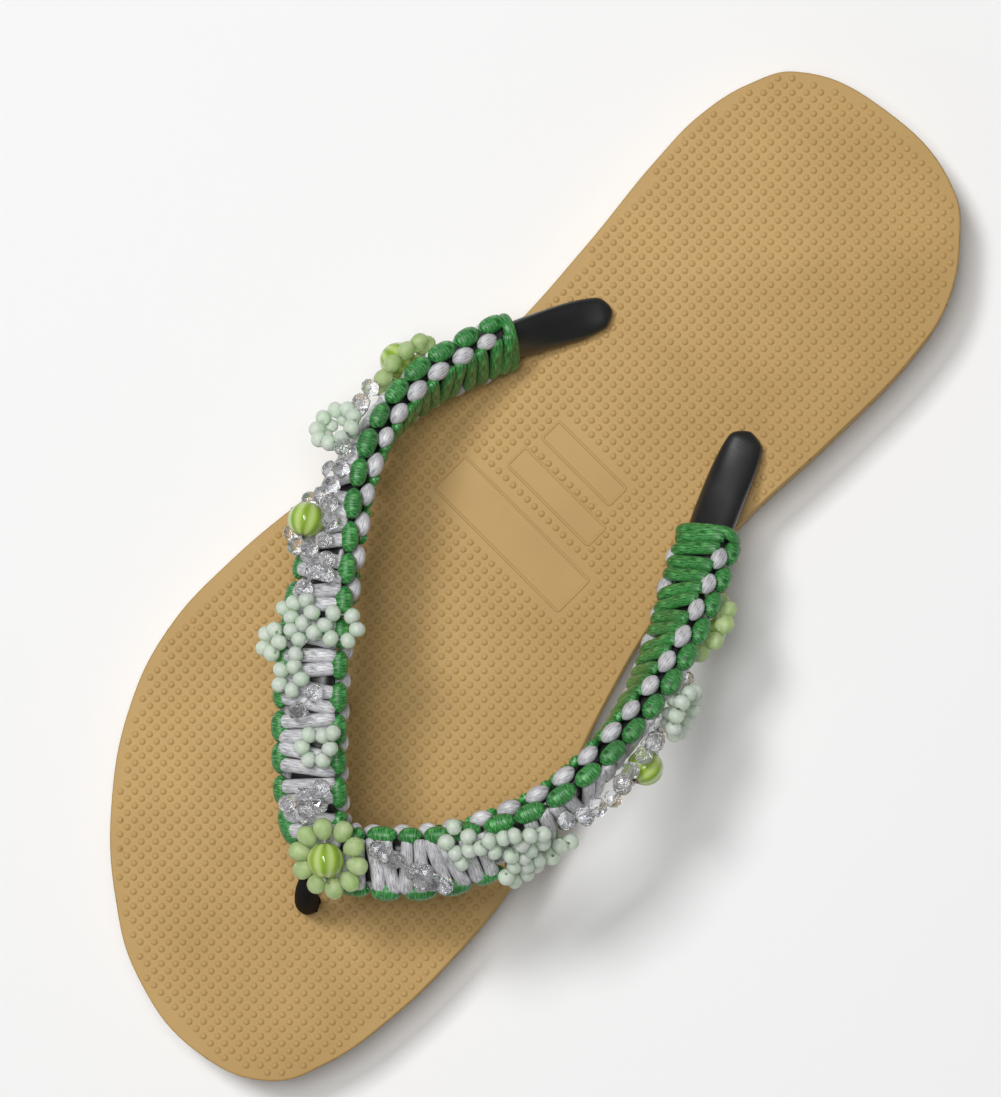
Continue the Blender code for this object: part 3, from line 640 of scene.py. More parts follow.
FOOTBED = rubber_tan("footbed_rubber", (0.520, 0.335, 0.125), (0.455, 0.285, 0.100), -0.09, 0.25)
WALL = rubber_tan("wall_rubber", (0.460, 0.285, 0.080), (0.390, 0.235, 0.060), 0.02, 0.30)
BLACK = rubber_black("thong_rubber", 0.85, 0.27, 0.36)
DULL_BLACK = rubber_black("post_rubber", 0.05, 0.62, 0.75)
# Satin colours: the mid stop is mostly the cord's own colour, the light stop painted sheen and the dark stop
# painted shade.
GREEN = satin("green_satin_painted_sheen", (0.004, 0.052, 0.008), (0.024, 0.205, 0.036), (0.170, 0.580, 0.170))
SILVER = satin("silver_satin_painted_sheen", (0.23, 0.22, 0.245), (0.62, 0.61, 0.635), (0.92, 0.92, 0.94))
PETAL = milky_glass("frosted_green_glass", (0.50, 0.69, 0.28), (0.73, 0.87, 0.49), 0.40, 0.48)
MINT = milky_glass("mint_glass", (0.68, 0.95, 0.65), (0.88, 1.00, 0.84), 0.30, 0.34)
STRIPED = striped_glass()
CRYSTAL = crystal()
THREAD = milky_glass("clear_thread", (0.55, 0.56, 0.56), (0.75, 0.76, 0.76), 0.20, 0.30)
BEAD_LOOKS = {"petals": (PETAL, "glass_frosted"), "mint": (MINT, "glass_mint"),
              "crystals": (CRYSTAL, "glass_clear")}


# The sole

def ground_height(along):
    if HEEL_FLAT_END < along < FOREFOOT_FLAT_START:
        waist = (along - HEEL_FLAT_END) / (FOREFOOT_FLAT_START - HEEL_FLAT_END)
        return WAIST_LIFT * math.sin(math.pi * waist) ** 2
    if along > FOREFOOT_FLAT_END:
        return TOE_SPRING * ((along - FOREFOOT_FLAT_END) / (1 - FOREFOOT_FLAT_END)) ** 1.6
    return 0.0


def thickness(along):
    if along < BALL_FROM:
        share = max(0.0, (along - HEEL_FLAT_END) / (BALL_FROM - HEEL_FLAT_END))
        return blend(HEEL_THICKNESS, BALL_THICKNESS, share)
    share = max(0.0, (along - BALL_TO) / (1 - BALL_TO))
    return blend(BALL_THICKNESS, TOE_THICKNESS, min(1.0, share))


def sole_levels(y):
    """Height of the sole's underside, and the sole's thickness, straight between stations."""
    share = min(max(y / SOLE_LENGTH, 0.0), 1.0) * SOLE_STATIONS
    first = min(int(share), SOLE_STATIONS - 1)
    low, high = first / SOLE_STATIONS, (first + 1) / SOLE_STATIONS
    between = share - first
    under = blend(ground_height(low), ground_height(high), between)
    return under, blend(thickness(low), thickness(high), between)


def footbed_height(y):
    under, depth = sole_levels(y)
    return under + depth


def over_plug(y):
    """Highest level of the sole's underside over the ends of a plug."""
    return max(sole_levels(y - PLUG_DIAMETER / 2)[0], sole_levels(y + PLUG_DIAMETER / 2)[0])


def outline_points():
    heel = (HEEL_TIP_ACROSS * HALF_WIDTH, 0.0)
    toe = (TOE_TIP_ACROSS * HALF_WIDTH, SOLE_LENGTH)
    outer = [(row.outer * HALF_WIDTH, row.along * SOLE_LENGTH) for row in OUTLINE]
    inner = [(-row.inner * HALF_WIDTH, row.along * SOLE_LENGTH) for row in reversed(OUTLINE)]
    return [heel] + outer + [toe] + inner


def outline_slab():
    """Mesh of a flat slab with the sole's outline, as thick as the ball of the sole."""
    curve = bpy.data.curves.new("outline", "CURVE")
    curve.dimensions = "2D"
    curve.fill_mode = "BOTH"
    curve.extrude = BALL_THICKNESS / 2
    curve.resolution_u = OUTLINE_STEPS
    spline = curve.splines.new("BEZIER")
    points = outline_points()
    spline.bezier_points.add(len(points) - 1)
    for corner, (x, y) in zip(spline.bezier_points, points):
        corner.co = (x, y, 0)
        corner.handle_left_type = "AUTO"
        corner.handle_right_type = "AUTO"
    spline.use_cyclic_u = True
    return evaluated_mesh(linked("outline", curve))


def route_point(row):
    y = row.along * SOLE_LENGTH
    return Vector((row.across * HALF_WIDTH, y, footbed_height(y) + row.height * ARCH_HEIGHT))


def hole_places():
    """Middle and radius of each hole through the sole."""
    places = []
    for end, neighbour in ((ROUTE[0], ROUTE[2]), (ROUTE[-1], ROUTE[-3])):
        tip = route_point(end)
        centre = tip + (route_point(neighbour) - tip).normalized() * HOLE_INSET
        places.append((centre.x, centre.y, STEM_DIAMETER / 2))
    bottom = route_point(POST[-1])
    places.append((bottom.x, bottom.y, POST_DIAMETER / 2))
    return places


def add_cylinder(bm, x, y, bottom, top, radius):
    at = Matrix.Translation((x, y, (bottom + top) / 2))
    bmesh.ops.create_cone(bm, cap_ends=True, segments=CUTTER_SIDES, radius1=radius, radius2=radius,
                          depth=top - bottom, matrix=at)


def sole_cutter():
    """Grooves of the tread, recesses of the plugs and holes of the stems."""
    cuts = bmesh.new()
    groove = Matrix.Diagonal((SOLE_WIDTH * 2, TREAD_GROOVE_WIDTH, CUT_DEPTH, 1))
    for number in range(int(SOLE_LENGTH / TREAD_PITCH)):
        y = (number + 0.5) * TREAD_PITCH
        middle = sole_levels(y)[0] + TREAD_GROOVE_DEPTH - CUT_DEPTH / 2
        bmesh.ops.create_cube(cuts, size=1.0, matrix=Matrix.Translation((0, y, middle)) @ groove)
    for x, y, radius in hole_places():
        under = over_plug(y)
        top = under + PLUG_RECESS + PLUG_THICKNESS
        add_cylinder(cuts, x, y, under - CUT_BELOW, top + GAP, PLUG_DIAMETER / 2 + GAP)
        add_cylinder(cuts, x, y, top - CUT_OVERLAP, footbed_height(y) + CUT_ABOVE, radius + STEM_GAP)
    return temporary("tread_cuts", cuts)


def make_sole():
    bm = bmesh.new()
    bm.from_mesh(outline_slab())
    bmesh.ops.remove_doubles(bm, verts=bm.verts, dist=TINY)
    bmesh.ops.dissolve_limit(bm, angle_limit=math.radians(0.1), verts=bm.verts, edges=bm.edges)
    half = BALL_THICKNESS / 2
    for side, width, segments in ((-1, GROUND_EDGE_RADIUS, 5), (1, RIM_CHAMFER, 3)):
        rim = [e for e in bm.edges if all(v.co.z * side > half - TINY for v in e.verts)]
        bmesh.ops.bevel(bm, geom=rim, offset=width, segments=segments, profile=0.5, affect="EDGES")
    stations = SOLE_STATIONS * 2
    for station in range(1, stations):
        everything = bm.verts[:] + bm.edges[:] + bm.faces[:]
        bmesh.ops.bisect_plane(bm, geom=everything, dist=1e-7, plane_no=(0, 1, 0),
                               plane_co=(0, SOLE_LENGTH * station / stations, 0))
    for vert in bm.verts:
        under, depth = sole_levels(vert.co.y)
        vert.co.z = under + depth * (vert.co.z + half) / BALL_THICKNESS
    sole = temporary("tan_sole", bm)
    cutter = sole_cutter()
    boolean = sole.modifiers.new("tread", "BOOLEAN")
    boolean.operation = "DIFFERENCE"
    boolean.solver = "EXACT"
    boolean.use_self = True
    boolean.object = cutter
    mesh = evaluated_mesh(sole)
    bpy.data.objects.remove(cutter)
    mesh.name = "tan_sole"
    mesh.transform(Matrix.Translation(SOLE_ORIGIN))
    mesh.materials.clear()
    mesh.materials.append(WALL)
    mesh.materials.append(FOOTBED)
    for face in mesh.polygons:
        face.material_index = 1 if face.normal.z > 0.9 and face.center.z > FOOTBED_FROM else 0
    mesh.shade_smooth()
    made = linked("tan_sole", mesh)
    edges = made.modifiers.new("edges", "EDGE_SPLIT")
    edges.split_angle = math.radians(32)
    place(made, "rubber_tan", "sole")


def inside(x, y, loop):
    odd = False
    for (x1, y1), (x2, y2) in zip(loop, loop[1:] + loop[:1]):
        if (y1 > y) != (y2 > y) and x < (x2 - x1) * (y - y1) / (y2 - y1) + x1:
            odd = not odd
    return odd


def edge_distance(x, y, loop):
    best = math.inf
    for (x1, y1), (x2, y2) in zip(loop, loop[1:] + loop[:1]):
        dx, dy = x2 - x1, y2 - y1
        share = min(max(((x - x1) * dx + (y - y1) * dy) / (dx * dx + dy * dy), 0.0), 1.0)
        best = min(best, math.hypot(x - x1 - dx * share, y - y1 - dy * share))
    return best


def outline_loop():
    """Corners of the outline in order, in the sole's own frame."""
    points = outline_points()
    steps = 4
    return [tuple(row) for row in smooth_rows([points[-1]] + points + points[:2], steps)[steps:-steps - 1]]


def in_panel(x, y, margin):
    """Whether a place in the model's frame is on one of the smooth patches."""
    for panel in PANELS:
        along, up = rotated(x - panel.x * MM, y - panel.y * MM, -LATTICE_TURN)
        if abs(along) < panel.length * MM / 2 + margin and abs(up) < panel.width * MM / 2 + margin:
            return True
    return False


def make_pips():
    """Raised pimples of the footbed, in a square lattice, each one a low dome sunk a little in the rubber."""
    shape = Shape()
    loop = outline_loop()
    reach = int(LATTICE_REACH / PIP_PITCH)
    for row in range(-reach, reach + 1):
        for column in range(-reach, reach + 1):
            x, y = rotated(column * PIP_PITCH, row * PIP_PITCH, LATTICE_TURN)
            here = (x - SOLE_ORIGIN.x, y - SOLE_ORIGIN.y)
            if not inside(*here, loop) or edge_distance(*here, loop) < PIP_MARGIN:
                continue
            if in_panel(x, y, PIP_RADIUS * PIP_PANEL_ROOM):
                continue
            z = footbed_height(here[1])
            base = shape.rings([Vector((x + PIP_RADIUS * radius * math.cos(t),
                                        y + PIP_RADIUS * radius * math.sin(t),
                                        z + PIP_HEIGHT * lift)) for t in turns(PIP_SIDES)]
                               for radius, lift in PIP_PROFILE)
            tip = shape.tip(Vector((x, y, z + PIP_HEIGHT)))
            upper = base
            for _ in PIP_PROFILE[1:]:
                lower, upper = upper, upper + PIP_SIDES
                for quad in band(lower, upper, PIP_SIDES):
                    shape.face(quad)
            for trio in fan(upper, tip, PIP_SIDES):
                shape.face(trio)
    place(shape.made("footbed_pips", FOOTBED), "rubber_tan")


def panel_outline(panel):
    """Points round a smooth patch, with round corners, about its own middle."""
    long = panel.length * MM / 2 - PANEL_CORNER_RADIUS
    wide = panel.width * MM / 2 - PANEL_CORNER_RADIUS
    line = []
    for sx, sy, start in ((1, 1, 0), (-1, 1, 90), (-1, -1, 180), (1, -1, 270)):
        for step in range(5):
            angle = math.radians(start + step * 22.5)
            line.append((sx * long + PANEL_CORNER_RADIUS * math.cos(angle),
                         sy * wide + PANEL_CORNER_RADIUS * math.sin(angle)))
    dense = []
    for (a0, b0), (a1, b1) in zip(line, line[1:] + line[:1]):
        steps = max(1, int(math.hypot(a1 - a0, b1 - b0) / PANEL_RIM_STEP))
        dense += [(blend(a0, a1, s / steps), blend(b0, b1, s / steps)) for s in range(steps)]
    return dense


def make_panel_rims():
    """Thin raised line round each smooth patch."""
    shape = Shape()
    for panel in PANELS:
        centres = []
        for a, b in panel_outline(panel):
            dx, dy = rotated(a, b, LATTICE_TURN)
            y = panel.y * MM + dy
            centres.append(Vector((panel.x * MM + dx, y, footbed_height(y - SOLE_ORIGIN.y))))
        rings = []
        for centre, ahead in zip(centres, directions(centres, closed=True)):
            side = ahead.cross(UP).normalized()
            rings.append(circle(centre, side * PANEL_RIM_HALF_WIDTH, UP * PANEL_RIM_HEIGHT, 8))
        shape.tube(rings, closed=True)
    place(shape.made("patch_rims", FOOTBED), "rubber_tan")


# The thong

class Route:
    """Centre line of both arms in the model's frame, with its section and roll, by distance."""

    STEPS = 8
    REACH = 0.0015
    TRIES = 12

    def __init__(self):
        rows = [(*(route_point(row) + SOLE_ORIGIN), row.roll, row.wide, row.thick, row.sleeve)
                for row in ROUTE]
        self.samples = smooth_rows(rows, self.STEPS)
        self.distances = [0.0]
        for one, two in zip(self.samples, self.samples[1:]):
            self.distances.append(self.distances[-1] + (Vector(two[:3]) - Vector(one[:3])).length)
        self.length = self.distances[-1]

    def row_distance(self, number):
        return self.distances[number * self.STEPS]

    def at(self, distance):
        distance = min(max(distance, 0.0), self.length)
        index = min(max(bisect.bisect_left(self.distances, distance) - 1, 0), len(self.distances) - 2)
        share = (distance - self.distances[index]) / (self.distances[index + 1] - self.distances[index])
        return [blend(a, b, share) for a, b in zip(self.samples[index], self.samples[index + 1])]

    def frame(self, distance):
        """Centre, direction across the band to its outer edge, and direction out of its outer face."""
        here = self.at(distance)
        ahead = Vector(self.at(distance + self.REACH)[:3]) - Vector(self.at(distance - self.REACH)[:3])
        outward = ahead.cross(UP).normalized()
        upward = outward.cross(ahead).normalized()
        roll = math.radians(here[3])
        across = outward * math.cos(roll) - upward * math.sin(roll)
        out = upward * math.cos(roll) + outward * math.sin(roll)
        return Vector(here[:3]), across, out

    def half_width(self, distance):
        return SLEEVE_WIDTH / 2 * self.at(distance)[6]

    def point(self, distance, across, out):
        centre, sideways, outward = self.frame(distance)
        return centre + sideways * across + outward * out

    def on_arm(self, arm, share):
        end = SLEEVE_FIRST_ROW if arm == "outer" else SLEEVE_LAST_ROW
        return blend(self.row_distance(CROSSING_ROW), self.row_distance(end), share)

    def level_with(self, distance, point):
        """The distance whose section goes through a point, from a distance near it."""
        for _ in range(self.TRIES):
            centre, across, out = self.frame(distance)
            distance += (point - centre).dot(out.cross(across))
        return distance


ROUTE_LINE = Route()
SLEEVE_START = ROUTE_LINE.row_distance(SLEEVE_FIRST_ROW)
SLEEVE_END = ROUTE_LINE.row_distance(SLEEVE_LAST_ROW)


def add_arms(shape):
    """Both arms, rounded at their ends."""
    total = ROUTE_LINE.length
    between = [total * number / STRAP_RINGS for number in range(3, STRAP_RINGS - 2)]
    rings = []
    for distance in STRAP_END_STEPS + between + [total - value for value in reversed(STRAP_END_STEPS)]:
        centre, across, out = ROUTE_LINE.frame(distance)
        wide, thick = ROUTE_LINE.at(distance)[4:6]
        end = min(distance, total - distance)
        rounding = math.sqrt(1 - max(1 - end / STRAP_END_ROUNDING, 0.0) ** 2)
        half_width = STRAP_WIDTH * wide / 2 * max(rounding, STRAP_END_LEAST)
        half_thickness = STRAP_THICKNESS * thick / 2 * max(rounding, STRAP_END_LEAST)
        rings.append([centre + across * half_width * signed_power(math.cos(t), STRAP_FLATNESS)
                      + out * half_thickness * signed_power(math.sin(t), STRAP_CROWN)
                      for t in turns(STRAP_SIDES)])
    shape.tube(rings)


def add_post(shape):
    """Toe post, a little wider under the crossing and sunk in its hole."""
    points = [Vector(p) + SOLE_ORIGIN for p in smooth_rows([tuple(route_point(row)) for row in POST], 8)]
    points.append(points[-1] - UP * POST_SINK * ARCH_HEIGHT)
    rings = []
    for number, (centre, ahead) in enumerate(zip(points, directions(points))):
        side = ahead.cross(Vector((1, 0, 0))).normalized()
        along = number / (len(points) - 1)
        flare = 1.0 + POST_FLARE * max(0.0, 1 - along / POST_FLARE_END) ** 2
        radius = (POST_DIAMETER / 2 - POST_GAP) * flare
        rings.append(circle(centre, side * radius, side.cross(ahead) * radius, POST_SIDES))
    shape.tube(rings, flag=1)


def add_plugs(shape):
    """Round plugs under the sole, with their stems. The post's own stem ends below the footbed."""
    plug = PLUG_DIAMETER / 2
    for x, y, radius in hole_places():
        bottom = over_plug(y) + PLUG_RECESS
        top = bottom + PLUG_THICKNESS
        stem_top = footbed_height(y) + (-0.4 * MM if radius * 2 < STEM_DIAMETER else 0.07 * ARCH_HEIGHT)
        profile = (
            (0.5 * MM, bottom + 0.4 * MM), (plug * 0.45, bottom + 0.3 * MM), (plug * 0.50, bottom),
            (plug - 0.7 * MM, bottom), (plug - 0.2 * MM, bottom + 0.3 * MM), (plug, bottom + 0.8 * MM),
            (plug, top - 0.6 * MM), (plug - 0.5 * MM, top), (radius + 0.2 * MM, top),
            (radius, top + 0.4 * MM), (radius, stem_top))
        shape.tube([circle(SOLE_ORIGIN + Vector((x, y, z)), Vector((r, 0, 0)), Vector((0, r, 0)), PLUG_SIDES)
                    for r, z in profile])


def make_thong():
    """The two arms, the toe post, and the plugs under the sole, in one piece of black rubber."""
    shape = Shape()
    add_arms(shape)
    add_post(shape)
    add_plugs(shape)
    place(shape.made("black_thong", BLACK, DULL_BLACK), "rubber_black", "strap")


# The knotted cord

def cord(shape, path, radii, sides=14, turned=False):
    """Cord along a path of (distance, across, out) places, with (half width, half height) at each."""
    points = [ROUTE_LINE.point(*spot) for spot in path]
    rings = []
    for spot, centre, ahead, (wide, high) in zip(path, points, directions(points), radii):
        middle, _, out = ROUTE_LINE.frame(spot[0])
        away = centre - middle
        away -= ahead * away.dot(ahead)
        up = away.normalized() if away.length > TINY else out
        rings.append(circle(centre, ahead.cross(up).normalized() * wide, up * high, sides))
    shape.tube(rings, turned=turned)


def crowding(distance, across):
    """How close together the knots lie at a place across the band, against the middle of the band."""
    one = ROUTE_LINE.point(distance - CROWDING_STEP, across, 0)
    two = ROUTE_LINE.point(distance + CROWDING_STEP, across, 0)
    least, most = CROWDING_LIMITS
    return min(max((two - one).length / (2 * CROWDING_STEP), least), most)


def face_cord(shape, middle, slant, face, seed):
    """One cord over a face of the band, from edge to edge."""
    half = ROUTE_LINE.half_width(middle)
    path, radii = [], []
    for step in range(CORD_STEPS + 1):
        t = -1 + 2 * step / CORD_STEPS
        across = t * (half - FACE_CORD_INSET)
        dip = abs(t) ** 5
        out = face * (SLEEVE_HALF_THICKNESS - FACE_CORD_HALF_HEIGHT - FACE_CORD_DIP * dip)
        distance = middle + slant * t + FACE_CORD_WAVE * math.sin(seed + t * FACE_CORD_WAVE_TURN)
        room = crowding(distance, across)
        path.append((distance, across, out))
        radii.append((FACE_CORD_HALF_WIDTH * room * (1 - FACE_CORD_NARROWING * dip),
                      FACE_CORD_HALF_HEIGHT * (1 - FACE_CORD_FLATTENING * dip)))
    cord(shape, path, radii)


def edge_loop(shape, middle, edge, style, size):
    """One loop of cord round an edge of the band, seen as a plump bead of thread."""
    half = ROUTE_LINE.half_width(middle)
    size *= style.size
    room = min(crowding(middle, edge * (half - LOOP_CROWDING_INSET)), LOOP_ROOM_LIMIT)
    length = LOOP_HALF_LENGTH * size * blend(LOOP_LEAST_LENGTH, 1.0, room)
    path, radii = [], []
    for step in range(CORD_STEPS + 1):
        turn = math.pi * (step / CORD_STEPS - 0.5) * CORD_TURN_SHARE
        t = math.copysign(abs(math.sin(turn)) ** (2 / style.blunt), turn)
        girth = math.cos(turn) ** (2 / style.blunt)
        across = edge * (half - style.inset - LOOP_END_INSET * (1 - girth))
        out = style.face * (LOOP_LIFT - LOOP_END_DROP * (1 - girth))
        path.append((middle + length * t, across, out))
        radii.append((LOOP_HALF_WIDTH * size * girth, LOOP_HALF_HEIGHT * size * girth))
    cord(shape, path, radii, sides=16, turned=style.face > 0)


def end_loop(shape, distance):
    """One turn of cord all round the end of the sleeve."""
    half = ROUTE_LINE.half_width(distance) - END_LOOP_INSET
    high = SLEEVE_HALF_THICKNESS - END_LOOP_HALF_HEIGHT
    centre, across, out = ROUTE_LINE.frame(distance)
    ahead = out.cross(across)
    rings = []
    for angle in turns(40):
        a, b = (signed_power(part, END_LOOP_FLATNESS) for part in (math.cos(angle), math.sin(angle)))
        spot = centre + across * a * half + out * b * high + ahead * END_LOOP_SWAY * math.sin(angle * 2)
        up = (across * a / half + out * b / high).normalized()
        rings.append(circle(spot, ahead * END_LOOP_HALF_WIDTH, up * END_LOOP_HALF_HEIGHT, 12))
    shape.tube(rings, closed=True)


def make_knots():
    green, silver = Shape(), Shape()
    chance = random.Random(7)
    knots = round((SLEEVE_END - SLEEVE_START) / KNOT_PITCH)
    pitch = (SLEEVE_END - SLEEVE_START) / knots
    for knot in range(knots):
        middle = SLEEVE_START + (knot + 0.5) * pitch
        slant = FACE_CORD_SLANT * (1 if knot % 2 else -1)
        for side in (-1, 1):
            for shape, face in ((silver, 1), (green, -1)):
                lean = face * slant + chance.uniform(-FACE_CORD_SHIFT, FACE_CORD_SHIFT)
                face_cord(shape, middle + side * FACE_CORD_SPREAD * pitch, lean, face, chance.random() * 6)
        for edge in (-1, 1):
            size = 1 + chance.uniform(-LOOP_SIZE_SPREAD, LOOP_SIZE_SPREAD)
            edge_loop(green, middle + chance.uniform(-LOOP_SHIFT, LOOP_SHIFT), edge, GREEN_LOOP, size)
            if knot < knots - 1:
                between = middle + pitch / 2 + chance.uniform(-LOOP_SHIFT, LOOP_SHIFT)
                edge_loop(silver, between, edge, SILVER_LOOP, size)
    for distance in (SLEEVE_START + GAP, SLEEVE_END - GAP):
        end_loop(green, distance)
    place(green.made("green_cord", GREEN), "satin_cord", "knot_wrap")
    place(silver.made("silver_cord", SILVER), "satin_cord", "knot_wrap")


# The beads

def face_height(offset, half, lift):
    """Height over the band's middle of a point a lift away from the sleeve, at an offset across it."""
    beyond = max(abs(offset) - (half - SLEEVE_EDGE_RADIUS), 0.0)
    reach = SLEEVE_EDGE_RADIUS + lift
    drop = math.sqrt(max(reach ** 2 - beyond ** 2, 0.0))
    return SLEEVE_HALF_THICKNESS - SLEEVE_EDGE_RADIUS + max(drop, reach * EDGE_DROP_LIMIT)


def settle(distance, point, lift):
    """Moves a point along the face's normal until it is a lift away from the sleeve."""
    distance = ROUTE_LINE.level_with(distance, point)
    centre, across, out = ROUTE_LINE.frame(distance)
    offset = point - centre
    height = face_height(offset.dot(across), ROUTE_LINE.half_width(distance), lift)
    return point + out * (height - offset.dot(out))


def face_place(row):
    distance = ROUTE_LINE.on_arm(row.arm, row.share)
    centre, across, out = ROUTE_LINE.frame(distance)
    point = centre + across * row.across * ROUTE_LINE.half_width(distance)
    return distance, point, across, out


def axes_for(axis):
    """Unit axis with two directions square to it."""
    axis = axis.normalized()
    helper = UP if abs(axis.z) < 0.9 else Vector((1, 0, 0))
    side = axis.cross(helper).normalized()
    return axis, side, axis.cross(side)


def round_bead(shape, centre, axis, radius):
    """Bead with a hole along its axis, a little shorter than it is wide."""
    axis, side, over = axes_for(axis)
    sides, rows, hole, squash = 18, 11, 0.20, 0.92
    start = math.asin(hole)
    profile = []
    for row in range(rows + 1):
        angle = start + (math.pi - 2 * start) * row / rows
        profile.append((math.sin(angle), -math.cos(angle) * squash))
    profile += [(hole * 0.9, h) for h in (0.55, 0.0, -0.55)]
    shape.tube([circle(centre + axis * radius * h, side * radius * r, over * radius * r, sides)
                for r, h in profile], closed=True)


def cut_bead(shape, centre, axis, radius, turn):
    """Faceted bead: rows of flat three-sided facets, with a flat facet at each end."""
    axis, side, over = axes_for(axis)
    sides = 8
    profile = ((0.24, -0.86, 0.0), (0.66, -0.66, 0.5), (0.97, -0.22, 0.0), (0.97, 0.22, 0.5),
               (0.66, 0.66, 0.0), (0.24, 0.86, 0.5))
    base = shape.rings(circle(centre + axis * h * radius, side * r * radius, over * r * radius,
                              sides, offset + turn) for r, h, offset in profile)
    for row in range(len(profile) - 1):
        for a, b, d, c in band(base + row * sides, base + (row + 1) * sides, sides):
            for trio in ((a, b, d), (a, d, c)) if row % 2 else ((a, b, c), (b, d, c)):
                shape.face(trio)
    for row in (0, len(profile) - 1):
        shape.face(tuple(range(base + row * sides, base + (row + 1) * sides)))


def melon_bead(shape, centre, axis, radius):
    """Large striped bead with shallow ribs. The second coordinate grows from 0 at the ends to the middle."""
    axis, side, over = axes_for(axis)
    sides, rows, ribs, hole = 64, 22, 8, 0.17
    length, girth, rib_depth, core = 0.96, 0.975, 0.035, 0.80
    start = math.asin(hole)
    rings, heights, shares = [], [], []
    for row in range(rows + 1):
        angle = start + (math.pi - 2 * start) * row / rows
        bulge = math.sin(angle)
        heights.append(-radius * math.cos(angle) * length)
        shares.append((bulge - hole) * 0.55)
        ring = []
        for t in turns(sides):
            rib = 1 + rib_depth * math.cos(ribs * t) * bulge ** 1.5
            r = radius * min(1.0, bulge ** 0.92) * rib * girth
            ring.append(centre + axis * heights[-1] + (side * math.cos(t) + over * math.sin(t)) * r)
        rings.append(ring)
    base = shape.rings(rings)
    for row in range(rows):
        low, high = shares[row:row + 2]
        for k, quad in enumerate(band(base + row * sides, base + (row + 1) * sides, sides)):
            u0, u1 = ribs * k / sides, ribs * (k + 1) / sides
            shape.face(quad, ((u0, low), (u1, low), (u1, high), (u0, high)))
    for row in (0, rows):
        tip = shape.tip(centre + axis * heights[row] * core)
        for trio in fan(base + row * sides, tip, sides):
            shape.face(trio)


def petal_bead(shape, centre, radial, up, radius):
    """Rounded petal that points away from its flower's middle, thinner at the inner end."""
    side = up.cross(radial).normalized()
    sides, rows = 14, 10
    length, inset, wide, high = 1.18, 0.20, 1.12, 0.96
    rings = []
    for row in range(rows + 1):
        angle = math.pi * (0.03 + 0.94 * row / rows)
        along = -math.cos(angle)
        girth = radius * math.sin(angle) * (0.90 + 0.12 * along)
        middle = centre + radial * radius * (length * along - inset)
        rings.append(circle(middle, side * girth * wide, up * girth * high, sides))
    shape.tube(rings)


def thread(shape, points, closed, radius=THREAD_RADIUS):
    """Thin clear thread through points."""
    rings = []
    for centre, ahead in zip(points, directions(points, closed)):
        _, side, over = axes_for(ahead)
        rings.append(circle(centre, side * radius, over * radius, 6))
    shape.tube(rings, closed=closed)


def ring_centres(row):
    radius = DIAMETERS[row.kind] / 2 / math.sin(math.pi / row.count)
    lift = DIAMETERS[row.kind] / 2 + GAP
    distance, point, across, out = face_place(row)
    ahead = out.cross(across)
    lean = math.radians(row.lean)
    rise = across * math.cos(lean) + out * math.sin(lean)
    middle = settle(distance, point, lift) + out * radius * math.sin(lean)
    centres = []
    for angle in turns(row.count):
        centre = middle + ahead * radius * math.sin(angle) - rise * radius * math.cos(angle)
        centres.append(centre if row.lean else settle(distance, centre, lift))
    return centres


def string_centres(row):
    distance, point, across, out = face_place(row)
    outward_along = out.cross(across) * (-1 if row.arm == "outer" else 1)
    heading = math.radians(row.heading)
    step = (outward_along * math.cos(heading) + across * math.sin(heading)) * DIAMETERS[row.kind]
    lift = DIAMETERS[row.kind] / 2 + GAP
    return [settle(distance, point + step * number, lift) for number in range(row.count)]


def photo_pixel(point):
    """Where the photograph shows a point of the model."""
    offset = point - SOLE_ORIGIN - Vector(CAMERA_FROM_HEEL)
    scale = PHOTO_FOCAL / -offset.z
    c, s = math.cos(VIEW_TURN), math.sin(VIEW_TURN)
    px = PHOTO_MIDDLE[0] - (offset.x * c + offset.y * s) * scale
    return px, PHOTO_MIDDLE[1] - (offset.x * s - offset.y * c) * scale


def sleeve_grid(lift):
    """Places all over the outer face of the sleeve, lifted from it, with their pixels in the photograph."""
    places = []
    for step in range(int((SLEEVE_END - SLEEVE_START) / GRID_STEP)):
        distance = SLEEVE_START + step * GRID_STEP
        centre, across, out = ROUTE_LINE.frame(distance)
        half = ROUTE_LINE.half_width(distance)
        for column in range(-GRID_COLUMNS, GRID_COLUMNS + 1):
            offset = column / GRID_COLUMNS * (half - GRID_INSET)
            point = centre + across * offset + out * face_height(offset, half, lift)
            places.append((photo_pixel(point), point, across, out))
    return places


def nearest_place(places, px, py):
    """The place that the photograph shows nearest to a pixel. A higher place hides a lower one."""
    def away(spot):
        (x, y), point = spot[:2]
        return math.hypot(x - px, y - py) - point.z * PIXELS_FOR_HEIGHT
    return min(places, key=away)[1:]


